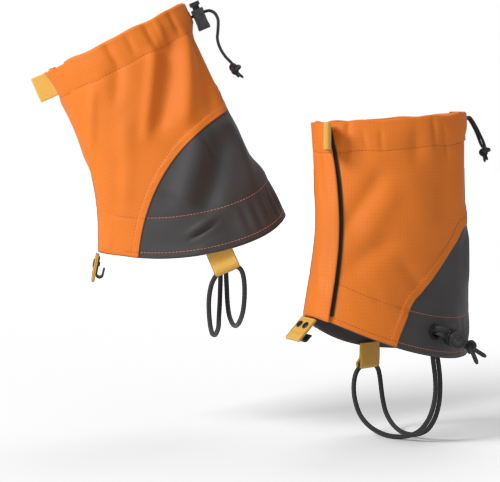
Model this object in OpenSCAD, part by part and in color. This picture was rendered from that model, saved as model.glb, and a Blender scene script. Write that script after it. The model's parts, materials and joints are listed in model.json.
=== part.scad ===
// A pair of low hiking gaiters, left and right. Each one is a sewn fabric sleeve with an
// opening flap at the front, a drawcord in the collar, and a cord that passes under the boot.
// Every piece is made in the gaiter's own frame: x points to the toes, y to the outer side of
// the leg, z up, and z = 0 is the lowest point of the hem.

/* [Sleeve] */
// Height of the collar at the front
collar_z = 220; // [210:1:230]
// How much higher the collar stands at the back
collar_rise = 9; // [4:1:12]
// Half length of the collar, fore and aft
collar_a = 70; // [66:1:72]
// Half width of the collar
collar_b = 33; // [30:1:36]
// Half length of the hem, fore and aft
hem_a = 90; // [86:1:94]
// Half width of the hem
hem_b = 50; // [47:1:53]
// Height of the hem over the instep
instep_z = 46; // [42:1:50]
// Thickness of the sewn fabric
cloth = 1.2; // [0.8:0.1:1.4]

/* [Collar] */
// Height of the drawcord casing
casing_h = 27; // [25:1:30]
// Diameter of the drawcord
drawcord_d = 2.8; // [2.4:0.1:3.0]

/* [Front flap] */
// Width of the webbing tabs
webbing_w = 24; // [20:1:26]
// Thickness of the webbing
webbing_t = 1.4; // [1.0:0.1:1.8]
// How far the pull tab stands out
pull_len = 20; // [16:1:24]
// Length of the tab that holds the lace hook
lace_len = 28; // [24:1:30]

/* [Hem] */
// Height of the doubled fabric along the hem
facing_h = 38; // [34:1:42]
// Diameter of the cord that passes under the boot
foot_d = 4; // [3.6:0.1:4.2]

/* [Pair] */
// How far the right gaiter leans forward, as on a raised heel
right_pitch = 23; // [15:1:30]
// How far the right gaiter's toe side turns outwards
right_yaw = 34; // [20:1:45]

/* [Hidden] */
SIDES = ["left", "right"];
PIECES = [
    "medial_panel", "lateral_panel", "rear_panel", "front_flap", "hook_tape", "loop_tape",
    "collar_casing", "drawcord", "drawcord_tails", "drawcord_knot", "collar_eyelet",
    "collar_lock_body", "collar_lock_plunger", "collar_lock_spring", "pull_tab", "lace_tab",
    "lace_hook", "lace_rivets", "foot_cord", "foot_lock_body", "foot_lock_plunger",
    "foot_lock_spring", "foot_knot", "foot_tab", "foot_eyelet", "hem_facing", "hem_elastic"
];
NODES = [for (side = SIDES) for (piece = PIECES) str(side, "_", piece)];
node = "all";

right_pos = [-136.4, -114.6, 91];       // the right gaiter's own origin
$fn = 40;

orange = [0.93, 0.47, 0.15];
grey = [0.33, 0.31, 0.31];
yellow = [0.92, 0.68, 0.22];
black = [0.08, 0.08, 0.09];
steel = [0.55, 0.55, 0.57];

// ---- shape of the sleeve -------------------------------------------------------------

sleeve_h = 220;                     // height over which the sections change
sleeve_top = sleeve_h + 8;

function is_left(side) = side == "left";
// 0 at the collar, 1 near the hem
function widen(z) = max(0, (sleeve_top - z) / sleeve_h);
function half_len(z) = collar_a + (hem_a - collar_a) * pow(widen(z), 1.5);
function half_wid(z) = collar_b + (hem_b - collar_b) * widen(z);
// the left collar leans forward a little, the right one back
function middle(side, z) =
    is_left(side) ? 3 + pow(widen(z), 2) : -6 + 10 * pow(widen(z), 2);
// the left collar is turned about the leg
function turn(side, z) = is_left(side) ? 34 * pow(max(0, 1 - widen(z)), 0.8) : 0;

// how far the front of the sleeve sits in above the instep
function waist(side, t, z) =
    z <= 48 || z >= 218 ? 0
        : pow(sin(180 * (z - 48) / 170), 0.9)
            * (is_left(side) ? 8 * exp(-13.6 * (1 - cos(t + 10)))
                             : 14 * exp(-8.4 * (1 - cos(t - 8))));

// A point at angle t round the sleeve (0 front, 90 outer side), height z, offset d outwards
function at(side, t, z, d = 0) =
    let (
        a = half_len(z),
        b = half_wid(z),
        n = [cos(t) / a, sin(t) / b] / norm([cos(t) / a, sin(t) / b]),
        x = a * cos(t) + d * n.x - waist(side, t, z),
        y = b * sin(t) + d * n.y,
        w = -turn(side, z)
    )
    [x * cos(w) - y * sin(w) + middle(side, z), x * sin(w) + y * cos(w), z];

// Outward direction of the sleeve's surface at t and z
function outward(side, t, z) = unit(at(side, t, z, 1) - at(side, t, z));
function unit(v) = v / norm(v);

// Hem, collar edge and the curved seam between the orange and grey panels
function hem_z(t) =
    instep_z * pow((1 + cos(t)) / 2, 2.2) + 8 * pow((1 - cos(t)) / 2, 12);
function top_z(t) = collar_z + collar_rise * pow((1 - cos(t)) / 2, 1.5);
function body_top(t) = top_z(t) - casing_h;
// t runs from the outer side (0 to 180) on to the inner side (180 to 360)
function seam_z(t) =
    t <= 180
        ? hem_top(135 * pow(max(0, 1 - pow(min(1, (180 - t) / 113), 1.3)), 0.72))
        : hem_top(bend_in(t) * pow(max(0, 1 - pow(min(1, (t - 180) / 125), 2.3)), 0.66));
function bend_in(t) = 120 + 15 * max(0, 1 - (t - 180) / 30);
function hem_top(z) = z + 8;

// ---- flap line and free edge ---------------------------------------------------------

hinge_low_z = 36;
hinge_top_z = 222;
hinge_t = -38;                      // angle of the flap's fold line at both ends
function hinge_end(side, z) = at(side, hinge_t, z, cloth + 1.5);
// the fold line is straight in space, so its angle round the sleeve changes a little
function fold_t(z) = hinge_t + 2.6 * sin(180 * flap_share(z));
function flap_share(z) = min(1, max(0, (z - hinge_low_z) / (hinge_top_z - hinge_low_z)));
// angle of the flap's free edge
function edge_t(side, z) =
    22 + 18 * sin(150 * flap_share(z)) - (is_left(side) ? 0 : 24 * pow(flap_share(z), 2));
// the outer panel and the casing reach this far under the flap
function front_t(side, z) = edge_t(side, z) - 28;
flap_lift = 3.9;                    // stand-off of the flap's free edge
fold_gap = 1;                       // degrees between the flap and the inner panel

// ---- sweeping ------------------------------------------------------------------------

// Closed solid through a list of rings with an even number of points each
module skin(rings) {
    m = len(rings[0]);
    n = len(rings);
    sides = [
        for (i = [0:n - 2]) for (j = [0:m - 1])
        let (a = i * m + j, b = i * m + (j + 1) % m, c = b + m, d = a + m)
        each [[a, c, b], [a, d, c]]
    ];
    start = [
        for (j = [0:m / 2 - 2]) each [[j, j + 1, m - 2 - j], [j, m - 2 - j, m - 1 - j]]
    ];
    last = (n - 1) * m;
    end = [for (f = start) [last + f[0], last + f[2], last + f[1]]];
    polyhedron([for (r = rings) each r], concat(sides, start, end), convexity = 6);
}

function reversed(v) = [for (i = [len(v) - 1:-1:0]) v[i]];

// Sheet of cloth on the sleeve. The functions give angle, height, and inner and outer offset
// at share s along it and share v up it.
module sheet(side, columns, rows, angle, height, inner, outer) {
    function spot(s, v, offset) =
        let (t = angle(s, v), z = height(t, v)) at(side, t, z, offset(s, v));
    skin([
        for (i = [0:columns]) let (s = i / columns)
        concat(
            [for (j = [0:rows]) spot(s, j / rows, inner)],
            [for (j = [rows:-1:0]) spot(s, j / rows, outer)]
        )
    ]);
}

// Round tube through a list of points; ref is a direction that the tube never takes
module tube(points, d, ref, sides = 8) {
    n = len(points) - 1;
    skin([
        for (i = [0:n])
        let (
            tangent = unit(points[min(n, i + 1)] - points[max(0, i - 1)]),
            across = unit(cross(ref, tangent)),
            up = cross(tangent, across)
        )
        [for (k = [0:sides - 1])
            points[i] + d / 2 * (across * cos(360 * k / sides) + up * sin(360 * k / sides))]
    ]);
}

// Puts the children's x, y and z along the three given directions at an origin
module oriented(origin, x, y, z) {
    multmatrix([
        [x.x, y.x, z.x, origin.x],
        [x.y, y.y, z.y, origin.y],
        [x.z, y.z, z.z, origin.z],
        [0, 0, 0, 1]
    ])
    children();
}

// ---- fabric --------------------------------------------------------------------------

module medial_panel(side) {
    color(orange)
    sheet(
        side, 14, 9,
        function(s, v) 180 + s * (fold_t(36 + 160 * v) - fold_gap + 180),
        function(t, v) let (low = max(hem_z(t), seam_z(t))) low + (body_top(t) - low) * v,
        function(s, v) 0, function(s, v) cloth
    );
}

module lateral_panel(side) {
    color(orange)
    sheet(
        side, 17, 9,
        function(s, v) let (from = front_t(side, 40 + 155 * v)) from + s * (180 - from),
        function(t, v) let (low = max(hem_z(t), seam_z(t))) low + (body_top(t) - low) * v,
        function(s, v) 0, function(s, v) cloth
    );
}

rear_from = 70;
rear_to = 301;
module rear_panel(side) {
    color(grey)
    difference() {
        sheet(
            side, 24, 5,
            function(s, v) rear_from + s * (rear_to - rear_from),
            function(t, v) hem_z(t) + (max(hem_z(t) + 1, seam_z(t) - 0.2) - hem_z(t)) * v,
            function(s, v) 0, function(s, v) cloth
        );
        foot_hole(side);
    }
}

module front_flap(side) {
    color(orange)
    sheet(
        side, 8, 18,
        function(s, v)
            let (z = 40 + 180 * v, from = fold_t(z) + fold_gap)
            from + s * (edge_t(side, z) - from),
        function(t, v) hem_z(t) + (top_z(t) - hem_z(t)) * v,
        function(s, v) 0.3 + flap_lift * s,
        function(s, v) 0.3 + flap_lift * s + cloth
    );
}

tape_t = 12;                        // width of the tapes in degrees
tape_low = 50;
module tape(side, low, high) {
    sheet(
        side, 2, 12,
        function(s, v) edge_t(side, tape_z(v)) - 1 - tape_t * (1 - s),
        function(t, v) tape_z(v),
        low, high
    );
}
function tape_z(v) = tape_low + (top_z(0) - 3 - tape_low) * v;
// the loop tape lies on the outer panel, and on the casing above it
function loop_low(v) = tape_z(v) > body_top(0) - 8 ? 1.35 : cloth;

module hook_tape(side) {
    color(black)
    tape(side, function(s, v) 3.0, function(s, v) 3.85);
}

module loop_tape(side) {
    color(black)
    tape(side, function(s, v) loop_low(v), function(s, v) 2.4);
}

// ---- collar --------------------------------------------------------------------------

// Outline of the folded casing as [height under the edge, offset] pairs
casing_outer = [[-27, 1.1], [-18, 1.3], [-8, 1.3], [-2, 0.7], [0, -1.6], [-2, -3.9],
    [-8, -4.4], [-18, -4.2], [-27, -1.3]];
casing_inner = [[-27, 0], [-18, 0.2], [-9, 0.2], [-3.2, -0.3], [-1.2, -1.6], [-3.2, -2.9],
    [-9, -3.3], [-18, -3.1], [-27, -0.1]];
function casing_from(side) = front_t(side, hinge_top_z);
casing_to = 321;
function casing_spot(side, t, p) =
    at(side, t, top_z(t) + p[0] * casing_h / 27, p[1]);

// Angle where the drawcord leaves the collar, and the frame of the cord lock there
function exit_t(side) = is_left(side) ? 208 : 180;
function exit_drop(side) = is_left(side) ? 11 : 15;
function exit_z(side) = top_z(180) - exit_drop(side);
function exit_spot(side, d) = at(side, exit_t(side), exit_z(side), d);
function exit_out(side) = outward(side, exit_t(side), exit_z(side));
function exit_side(side) = cross([0, 0, 1], exit_out(side));
module at_exit(side, d) {
    oriented(exit_spot(side, d), exit_out(side), exit_side(side), [0, 0, 1]) children();
}
eyelet_r = 4.0;                     // hole of the collar's eyelet
eyelet_wall = 0.6;

module collar_casing(side) {
    color(orange)
    difference() {
        skin([
            for (i = [0:32])
            let (from = casing_from(side), t = from + i * (casing_to - from) / 32)
            concat(
                [for (p = casing_inner) casing_spot(side, t, p)],
                [for (p = reversed(casing_outer)) casing_spot(side, t, p)]
            )
        ]);
        at_exit(side, -2.6)
            rotate([0, 90, 0]) cylinder(r = eyelet_r + eyelet_wall, h = 8);
    }
}

strand_gap = 3.5;                   // centre distance of the two drawcord strands
casing_mid = -1.55;                 // offset of the cord inside the casing

// The cord runs inside the casing from both front ends to the exit
module drawcord(side) {
    color(black) {
        drawcord_run(side, casing_to - 5, exit_t(side) + 7);
        drawcord_run(side, casing_from(side) + 5, exit_t(side) - 7);
    }
}
module drawcord_run(side, from, to) {
    steps = ceil(abs(to - from) / 11);
    tube(
        [for (i = [0:steps]) let (t = from + (to - from) * i / steps)
            at(side, t, top_z(t) - exit_drop(side), casing_mid)],
        drawcord_d, [0, 0, 1]
    );
}

// Routes of the free ends, in the gaiter's own frame
left_tail = [
    [-80, 13, 220.5], [-85, 11.5, 224], [-89.5, 11.5, 224.5], [-94, 13.5, 218],
    [-98, 16, 209], [-101, 19, 199]
];
right_tail = [
    [-97, 0, 212.5], [-99.8, 0, 208.5], [-100, 0, 202], [-96.5, 0, 194], [-92.5, 0, 186],
    [-91.5, 0, 177], [-93, 0, 168], [-96, 0, 160]
];
function tail(side) = is_left(side) ? left_tail : right_tail;
function tail_start(side) = exit_spot(side, 0.4);
function strand(side, k) =
    let (shift = exit_side(side) * k * strand_gap / 2, route = tail(side))
    concat(
        [for (d = [0, 8, 16.5]) tail_start(side) + exit_out(side) * d + shift],
        [for (p = route) p + shift]
    );
module drawcord_tails(side) {
    color(black)
    for (k = [-1, 1]) tube(strand(side, k), drawcord_d, [0, 1, 0.2]);
}

// A knot: two crossed rings of cord round a core
module knot(size, d) {
    for (tilt = [-38, 38])
        rotate([tilt, 0, 0])
            rotate_extrude($fn = 24) translate([size / 2 - d / 2, 0]) circle(d = d, $fn = 16);
    sphere(d = size - d, $fn = 24);
}
module drawcord_knot(side) {
    color(black)
    translate(tail(side)[len(tail(side)) - 1] + [is_left(side) ? -2 : -1, 1, -6])
        rotate([90, 0, 0]) knot(12.5, 3.4);
}

module collar_eyelet(side) {
    color(steel)
    at_exit(side, -0.9)
        rotate([0, 90, 0])
            rotate_extrude()
                difference() {
                    union() {
                        translate([eyelet_r, 0]) square([eyelet_wall, 2.9]);
                        translate([eyelet_r, 2.3]) square([1.8, 0.6]);
                        translate([eyelet_r, 0]) square([1.4, 0.6]);
                    }
                    square([eyelet_r, 10]);
                }
}

// ---- cord locks ----------------------------------------------------------------------
// In a lock's own frame the cords run along x, side by side in y, and the plunger moves in z.

collar_lock_x = 8.5;                // distance from the collar's surface to the lock's middle
lock_travel = 3;

module at_collar_lock(side) {
    oriented(
        exit_spot(side, 0.4) + exit_out(side) * collar_lock_x,
        exit_out(side), exit_side(side), [0, 0, 1]
    )
    children();
}

module collar_lock_body(side) {
    color(black)
    at_collar_lock(side)
    difference() {
        translate([-5.5, -6.5, -15]) cube([11, 13, 20]);
        translate([-3.3, -5, -12.4]) cube([6.6, 10, 30]);
        cord_slot(8, strand_gap / 2, drawcord_d / 2 + 0.35, 0);
    }
}

// Slot along x that clears two cords side by side and lets them move by rise
module cord_slot(half, spread, r, rise) {
    for (k = [-1, 1])
        translate([-half, k * spread, 0]) rotate([0, 90, 0]) cylinder(r = r, h = 2 * half);
    translate([-half, -spread - (rise > 0 ? r : 0), -r])
        cube([2 * half, 2 * spread + (rise > 0 ? 2 * r : 0), 2 * r + rise]);
}

module collar_lock_plunger(side) {
    color(black)
    at_collar_lock(side)
    difference() {
        union() {
            translate([-3, -4.7, -7.4]) cube([6, 9.4, 16.6]);
            translate([-4.5, -5.6, 9]) cube([9, 11.2, 3]);
            for (z = [6.4, 8.2]) translate([-3.2, -4.9, z]) cube([6.4, 9.8, 0.7]);
        }
        cord_slot(8, strand_gap / 2, drawcord_d / 2 + 0.35, lock_travel + 0.2);
    }
}

module collar_lock_spring(side) {
    color(steel)
    at_collar_lock(side)
        translate([0, 0, -12.4]) spring(2.4, 4.95);
}

// Compression spring drawn as a sleeve with turned grooves
module spring(r, h) {
    turns = 4;
    rotate_extrude()
        translate([r - 0.8, 0])
            union() {
                square([0.5, h]);
                for (i = [0:turns - 1])
                    translate([0.5, (i + 0.5) * h / turns]) circle(d = 0.6, $fn = 16);
            }
}

// The foot cord's lock stands off the outer side of the hem
foot_lock_at = [-19, 63, 24];
foot_lock_w = unit([0.43, 0.90, 0]);            // plunger axis
foot_lock_c = unit([-0.79, 0.377, -0.47]);      // cord axis, towards the knot
foot_lock_v = cross(foot_lock_w, foot_lock_c);
foot_spread = 2.15;                 // half the distance between the two strands
foot_travel = 2;

module at_foot_lock() {
    oriented(foot_lock_at, foot_lock_c, foot_lock_v, foot_lock_w) children();
}

module foot_lock_body(side) {
    color(black)
    at_foot_lock()
    difference() {
        translate([0, 0, -8]) cylinder(r = 8.2, h = 12.2);
        translate([-3.6, -5.2, -6.6]) cube([7.2, 10.4, 20]);
        cord_slot(12, foot_spread, foot_d / 2 + 0.3, 0);
    }
}

module foot_lock_plunger(side) {
    color(black)
    at_foot_lock()
    difference() {
        union() {
            translate([-3.3, -4.95, -3.8]) cube([6.6, 9.9, 10.6]);
            translate([0, 0, 6.6]) cylinder(r1 = 7.6, r2 = 8.4, h = 1.2);
            translate([0, 0, 7.8]) cylinder(r = 8.4, h = 2.0);
        }
        cord_slot(12, foot_spread, foot_d / 2 + 0.3, foot_travel + 0.2);
        translate([0, 0, 9.2]) cylinder(r = 5, h = 3);
    }
}

module foot_lock_spring(side) {
    color(steel)
    at_foot_lock()
        translate([0, 0, -6.6]) spring(2.2, 2.75);
}

// ---- webbing -------------------------------------------------------------------------

pull_t_back = 1.5;                  // degrees from the flap's edge to the pull tab
pull_low = 195;
function pull_t(side) = edge_t(side, 208) - pull_t_back;
// the left tab leans towards the outer side
function pull_turn(side) = is_left(side) ? 28 : 0;
function pull_gap(side) = is_left(side) ? 0.95 : 0.1;
module pull_tab(side) {
    color(yellow)
    oriented(
        at(side, pull_t(side), 208, 0.3 + flap_lift + cloth),
        outward(side, pull_t(side), 208),
        cross([0, 0, 1], outward(side, pull_t(side), 208)), [0, 0, 1]
    )
    rotate([0, 0, pull_turn(side)])
    translate([pull_gap(side), 0, -webbing_w / 2])
        linear_extrude(webbing_w) webbing_loop(pull_len, 3.6);
}

// Outline of folded webbing: a flat loop of the given length and height, open inside
module webbing_loop(length, height) {
    r = height / 2;
    difference() {
        union() {
            translate([0, -r]) square([length - r, height]);
            translate([length - r, 0]) circle(r = r);
        }
        translate([webbing_t, -(r - webbing_t)])
            square([length - r - webbing_t, 2 * (r - webbing_t)]);
        translate([length - r, 0]) circle(r = r - webbing_t);
    }
}

// The lace tab hangs forwards and down from the flap's lower end
function lace_tilt(side) = is_left(side) ? 44 : 34;
function lace_t(side) = is_left(side) ? 5 : -3;
function lace_yaw(side) = is_left(side) ? -12 : 0;
lace_z = 45;
lace_gap = 2.5;                      // from the flap's lower edge to the webbing
function lace_at(side) = at(side, lace_t(side), lace_z, 3);
module at_lace(side) {
    translate(lace_at(side))
        rotate([0, 0, lace_yaw(side)]) rotate([0, 90 - lace_tilt(side), 0]) children();
}
lace_rivet_x = 11;
lace_rivet_y = 5.4;
module lace_tab(side) {
    color(yellow)
    at_lace(side)
    difference() {
        translate([0, webbing_w / 2, 0])
            rotate([90, 0, 0])
                linear_extrude(webbing_w)
                    union() {
                        translate([lace_gap, 0])
                            square([lace_len - lace_gap - webbing_t, 2 * webbing_t]);
                        translate([lace_len - webbing_t, webbing_t]) circle(r = webbing_t);
                    }
        for (k = [-1, 1])
            translate([lace_rivet_x, k * lace_rivet_y, -5]) cylinder(r = 1.6, h = 20);
    }
}

hook_w = 16;                        // width of the lace hook along the lace
hook_t = 1.2;
hook_seat = 2.5;                    // radius of the seat for the lace
hook_x = 20;
module lace_hook(side) {
    color(steel)
    at_lace(side)
    difference() {
        union() {
            translate([5, -hook_w / 2, -hook_t]) cube([hook_x - 5, hook_w, hook_t]);
            translate([hook_x, hook_w / 2, -hook_seat - hook_t])
                rotate([90, 0, 0])
                    seat(hook_w);
            translate([hook_x - 6, -hook_w / 2, -2 * hook_seat - 2 * hook_t])
                cube([6, hook_w, hook_t]);
        }
        for (k = [-1, 1])
            translate([lace_rivet_x, k * lace_rivet_y, -5]) cylinder(r = 1.6, h = 4.9);
    }
}

// Half tube that forms the hook's seat
module seat(length) {
    difference() {
        cylinder(r = hook_seat + hook_t, h = length);
        translate([0, 0, -1]) cylinder(r = hook_seat, h = length + 2);
        translate([-20, -20, -1]) cube([20, 40, length + 2]);
    }
}

module lace_rivets(side) {
    color(black)
    at_lace(side)
    for (k = [-1, 1])
        translate([lace_rivet_x, k * lace_rivet_y, 0]) {
            translate([0, 0, -hook_t - 0.8]) cylinder(r = 2.6, h = 0.8);
            translate([0, 0, -hook_t - 0.2]) cylinder(r = 1.6, h = 2 * webbing_t + hook_t + 0.4);
            translate([0, 0, 2 * webbing_t]) cylinder(r = 3.6, h = 1.1);
        }
}

// Webbing loop sewn inside the inner side of the hem, which the foot cord passes through
foot_tab_x = -14;
foot_tab_y = -46.5;                 // middle of the loop
foot_tab_z = -12;
foot_tab_in = -43.9;                // middle of the two layers that are sewn to the hem
foot_tab_top = 10;
module foot_tab(side) {
    color(yellow)
    translate([foot_tab_x + webbing_w / 2, 0, 0])
        rotate([90, 0, -90])
            linear_extrude(webbing_w)
                difference() {
                    union() {
                        hull() {
                            translate([-foot_tab_y, foot_tab_z]) circle(r = 3.7);
                            translate([-foot_tab_in - 1.4, -2]) square([2.8, 0.1]);
                        }
                        translate([-foot_tab_in - 1.4, -2]) square([2.8, foot_tab_top + 2]);
                    }
                    hull() {
                        translate([-foot_tab_y, foot_tab_z]) circle(r = 2.3);
                        translate([-foot_tab_in - 0.3, -4.5]) square([0.6, 0.1]);
                    }
                }
}

// ---- foot cord -----------------------------------------------------------------------

function foot_eyelet_t(side) = is_left(side) ? 100.2 : 96;
foot_eyelet_z = 30;
foot_eyelet_r = 5.2;
function foot_out(side) = outward(side, foot_eyelet_t(side), foot_eyelet_z);
module at_foot_eyelet(side, d) {
    oriented(
        at(side, foot_eyelet_t(side), foot_eyelet_z, d),
        foot_out(side), cross([0, 0, 1], foot_out(side)), [0, 0, 1]
    )
    children();
}
module foot_hole(side) {
    at_foot_eyelet(side, -6)
        rotate([0, 90, 0]) cylinder(r = foot_eyelet_r + eyelet_wall, h = 12);
}
module foot_eyelet(side) {
    color(black)
    at_foot_eyelet(side, -3.2)
        rotate([0, 90, 0])
            rotate_extrude()
                union() {
                    translate([foot_eyelet_r, 0]) square([eyelet_wall, 5.4]);
                    translate([foot_eyelet_r, 4.8]) square([2.2, 0.7]);
                    translate([foot_eyelet_r, 0]) square([1.8, 0.6]);
                }
}

// Route of the cord: from the knot through the lock and the eyelet, down inside the hem,
// under the boot, up, through the inner tab, and back again beside the first run
function foot_at_lock(along, k) =
    foot_lock_at + foot_lock_c * along + foot_lock_v * k * foot_spread;
foot_run_out = [
    [-6.9, 55.5, 33.6], [-7, 51.5, 32.6], [-7.3, 46.5, 31.4], [-8.5, 43.2, 26],
    [-10.5, 42.6, 14], [-12, 43.5, 0], [-13.5, 44.5, -14], [-14.5, 44, -28],
    [-14, 41.5, -42], [-13, 36, -55], [-11.5, 26.5, -66], [-10, 13, -72.5], [-7, -1, -75],
    [-4, -15, -74], [-0.5, -28, -69], [2, -38.5, -60], [3.5, -44, -48.5],
    [4, -46.5, -37], [3, -47.2, -27], [0.5, -47, -19], [-4, -46.6, -14],
    [-9, -46.5, -12.3], [-14, -46.5, -12]
];
foot_run_back = [
    [-19, -46.5, -12.3], [-24, -46.6, -14], [-28.5, -47, -19], [-31, -47.2, -27],
    [-32, -46.5, -37], [-32, -44, -48.5], [-31, -38.5, -60], [-29, -28, -69],
    [-27, -15, -74], [-25, -1, -75], [-23.5, 13, -72.5], [-22, 26.5, -66],
    [-21.3, 36, -55], [-21, 41.5, -42], [-20.5, 44, -28], [-19.5, 44.5, -14],
    [-18.2, 43.5, 0], [-15.8, 42.4, 13], [-12.6, 43.2, 22.5], [-10.9, 46.5, 28.2],
    [-9.6, 51.3, 28.4], [-8.2, 55, 28.6]
];
// Below its tab the right gaiter's loop hangs plumb, so it swings forward in its own frame
function plumb(side, p) =
    let (drop = p.z - foot_tab_z)
    is_left(side) || drop >= 0 ? p
        : [p.x - drop * sin(right_pitch), p.y, foot_tab_z + drop * cos(right_pitch)];
function foot_route(side) = concat(
    [for (x = [15.5, 6, -6, -12.5]) foot_at_lock(x, 1)],
    [for (p = concat(foot_run_out, foot_run_back)) plumb(side, p)],
    [for (x = [-12.5, -6, 6, 15.5]) foot_at_lock(x, -1)]
);
module foot_cord(side) {
    color(black)
    tube(foot_route(side), foot_d, [1, 1, 1]);
}

foot_knot_x = 17.5;
foot_tail_ends = [[9.5, -0.5, -2], [8, -5, -3.5]];
module foot_knot(side) {
    color(black)
    at_foot_lock()
    translate([foot_knot_x, 0, 0]) {
        rotate([0, 90, 0]) knot(13, 4);
        for (p = foot_tail_ends)
            tube([[2, 0, 0], p * 0.6, p * 1.3, p * 2], 3.6, [0, 0, 1]);
    }
}

// ---- hem -----------------------------------------------------------------------------

facing_from = 26;
facing_to = 320;
function facing_z(t, v) = hem_z(t) + 0.3 + facing_h * v;
module hem_facing(side) {
    color(grey)
    difference() {
        sheet(
            side, 30, 4,
            function(s, v) facing_from + s * (facing_to - facing_from),
            function(t, v) facing_z(t, v),
            function(s, v) -1.0 - 1.5 * sin(180 * v),
            function(s, v) -0.05 - 1.5 * sin(180 * v)
        );
        foot_hole(side);
    }
}

module hem_elastic(side) {
    color(black)
    sheet(
        side, 12, 1,
        function(s, v) 125 + s * 110,
        function(t, v) facing_z(t, 0.35 + 0.3 * v),
        function(s, v) -1.15, function(s, v) -0.1
    );
}

// ---- the pair ------------------------------------------------------------------------

// World frame: z up, the left gaiter's toes towards -y and its outer side towards +x
module place(side) {
    if (is_left(side)) rotate([0, 0, -90]) children();
    else
        translate(right_pos)
            rotate([0, 0, -90 - right_yaw])
                rotate([0, right_pitch, 0])
                    mirror([0, 1, 0]) children();
}
function wanted(side, piece) = node == "all" || node == str(side, "_", piece);

for (side = SIDES) {
    if (wanted(side, "medial_panel")) place(side) medial_panel(side);
    if (wanted(side, "lateral_panel")) place(side) lateral_panel(side);
    if (wanted(side, "rear_panel")) place(side) rear_panel(side);
    if (wanted(side, "front_flap")) place(side) front_flap(side);
    if (wanted(side, "hook_tape")) place(side) hook_tape(side);
    if (wanted(side, "loop_tape")) place(side) loop_tape(side);
    if (wanted(side, "collar_casing")) place(side) collar_casing(side);
    if (wanted(side, "drawcord")) place(side) drawcord(side);
    if (wanted(side, "drawcord_tails")) place(side) drawcord_tails(side);
    if (wanted(side, "drawcord_knot")) place(side) drawcord_knot(side);
    if (wanted(side, "collar_eyelet")) place(side) collar_eyelet(side);
    if (wanted(side, "collar_lock_body")) place(side) collar_lock_body(side);
    if (wanted(side, "collar_lock_plunger")) place(side) collar_lock_plunger(side);
    if (wanted(side, "collar_lock_spring")) place(side) collar_lock_spring(side);
    if (wanted(side, "pull_tab")) place(side) pull_tab(side);
    if (wanted(side, "lace_tab")) place(side) lace_tab(side);
    if (wanted(side, "lace_hook")) place(side) lace_hook(side);
    if (wanted(side, "lace_rivets")) place(side) lace_rivets(side);
    if (wanted(side, "foot_cord")) place(side) foot_cord(side);
    if (wanted(side, "foot_lock_body")) place(side) foot_lock_body(side);
    if (wanted(side, "foot_lock_plunger")) place(side) foot_lock_plunger(side);
    if (wanted(side, "foot_lock_spring")) place(side) foot_lock_spring(side);
    if (wanted(side, "foot_knot")) place(side) foot_knot(side);
    if (wanted(side, "foot_tab")) place(side) foot_tab(side);
    if (wanted(side, "foot_eyelet")) place(side) foot_eyelet(side);
    if (wanted(side, "hem_facing")) place(side) hem_facing(side);
    if (wanted(side, "hem_elastic")) place(side) hem_elastic(side);
}
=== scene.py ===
"""A pair of low hiking gaiters: fabric sleeves, webbing tabs, cords and cord locks.

Every piece is worked out in its gaiter's own frame, in millimetres: x points to the toes,
y to the outer side of the leg, z up from the lowest point of the hem. The sleeve's angle is
in degrees, 0 at the front and 90 at the outer side, and -180 to 0 is the inner side.
"""

from __future__ import annotations

import json
import logging
import math
from dataclasses import dataclass
from enum import Enum
from functools import cached_property
from typing import Callable, Iterable, Sequence

import bpy
import numpy as np
from mathutils import Matrix, Vector

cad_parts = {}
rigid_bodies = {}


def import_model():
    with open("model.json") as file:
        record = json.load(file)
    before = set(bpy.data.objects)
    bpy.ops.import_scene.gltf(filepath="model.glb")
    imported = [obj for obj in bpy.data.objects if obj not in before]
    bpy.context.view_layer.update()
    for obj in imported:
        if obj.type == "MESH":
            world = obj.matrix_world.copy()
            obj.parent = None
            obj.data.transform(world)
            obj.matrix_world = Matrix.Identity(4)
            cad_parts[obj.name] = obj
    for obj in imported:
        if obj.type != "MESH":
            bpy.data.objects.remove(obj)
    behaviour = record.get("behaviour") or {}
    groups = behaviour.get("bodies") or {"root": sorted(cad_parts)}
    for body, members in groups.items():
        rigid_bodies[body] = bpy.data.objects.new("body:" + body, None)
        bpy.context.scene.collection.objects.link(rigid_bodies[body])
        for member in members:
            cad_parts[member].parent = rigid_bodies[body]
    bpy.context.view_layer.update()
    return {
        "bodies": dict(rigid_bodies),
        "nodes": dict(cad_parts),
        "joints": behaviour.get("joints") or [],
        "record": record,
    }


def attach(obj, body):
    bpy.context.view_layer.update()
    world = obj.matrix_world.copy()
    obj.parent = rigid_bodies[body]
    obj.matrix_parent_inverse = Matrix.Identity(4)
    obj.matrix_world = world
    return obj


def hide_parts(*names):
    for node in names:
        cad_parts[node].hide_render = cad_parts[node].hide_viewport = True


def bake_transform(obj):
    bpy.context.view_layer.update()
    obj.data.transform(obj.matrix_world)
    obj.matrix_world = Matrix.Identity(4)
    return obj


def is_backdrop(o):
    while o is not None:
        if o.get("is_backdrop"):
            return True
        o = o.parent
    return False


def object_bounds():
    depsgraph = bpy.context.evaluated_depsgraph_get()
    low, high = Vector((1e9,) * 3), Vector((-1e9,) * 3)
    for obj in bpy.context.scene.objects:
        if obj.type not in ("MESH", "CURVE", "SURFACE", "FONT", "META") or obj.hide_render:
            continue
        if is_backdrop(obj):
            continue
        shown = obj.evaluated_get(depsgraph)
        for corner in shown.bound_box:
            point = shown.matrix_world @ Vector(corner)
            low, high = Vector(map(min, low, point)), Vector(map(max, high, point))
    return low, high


LOG = logging.getLogger("gaiters")
MM = 0.001
Array = np.ndarray
STRANDS = 4  # strands of a cord's braid in each direction


class Side(Enum):
    """Which foot a gaiter belongs to."""

    LEFT = "left"
    RIGHT = "right"


# ---- Small mathematics ----


def ease(x: Array | float, low: float, high: float) -> Array:
    """Smooth step from 0 at low to 1 at high."""
    k = np.clip((np.asarray(x, float) - low) / (high - low), 0.0, 1.0)
    return k * k * (3.0 - 2.0 * k)


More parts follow.
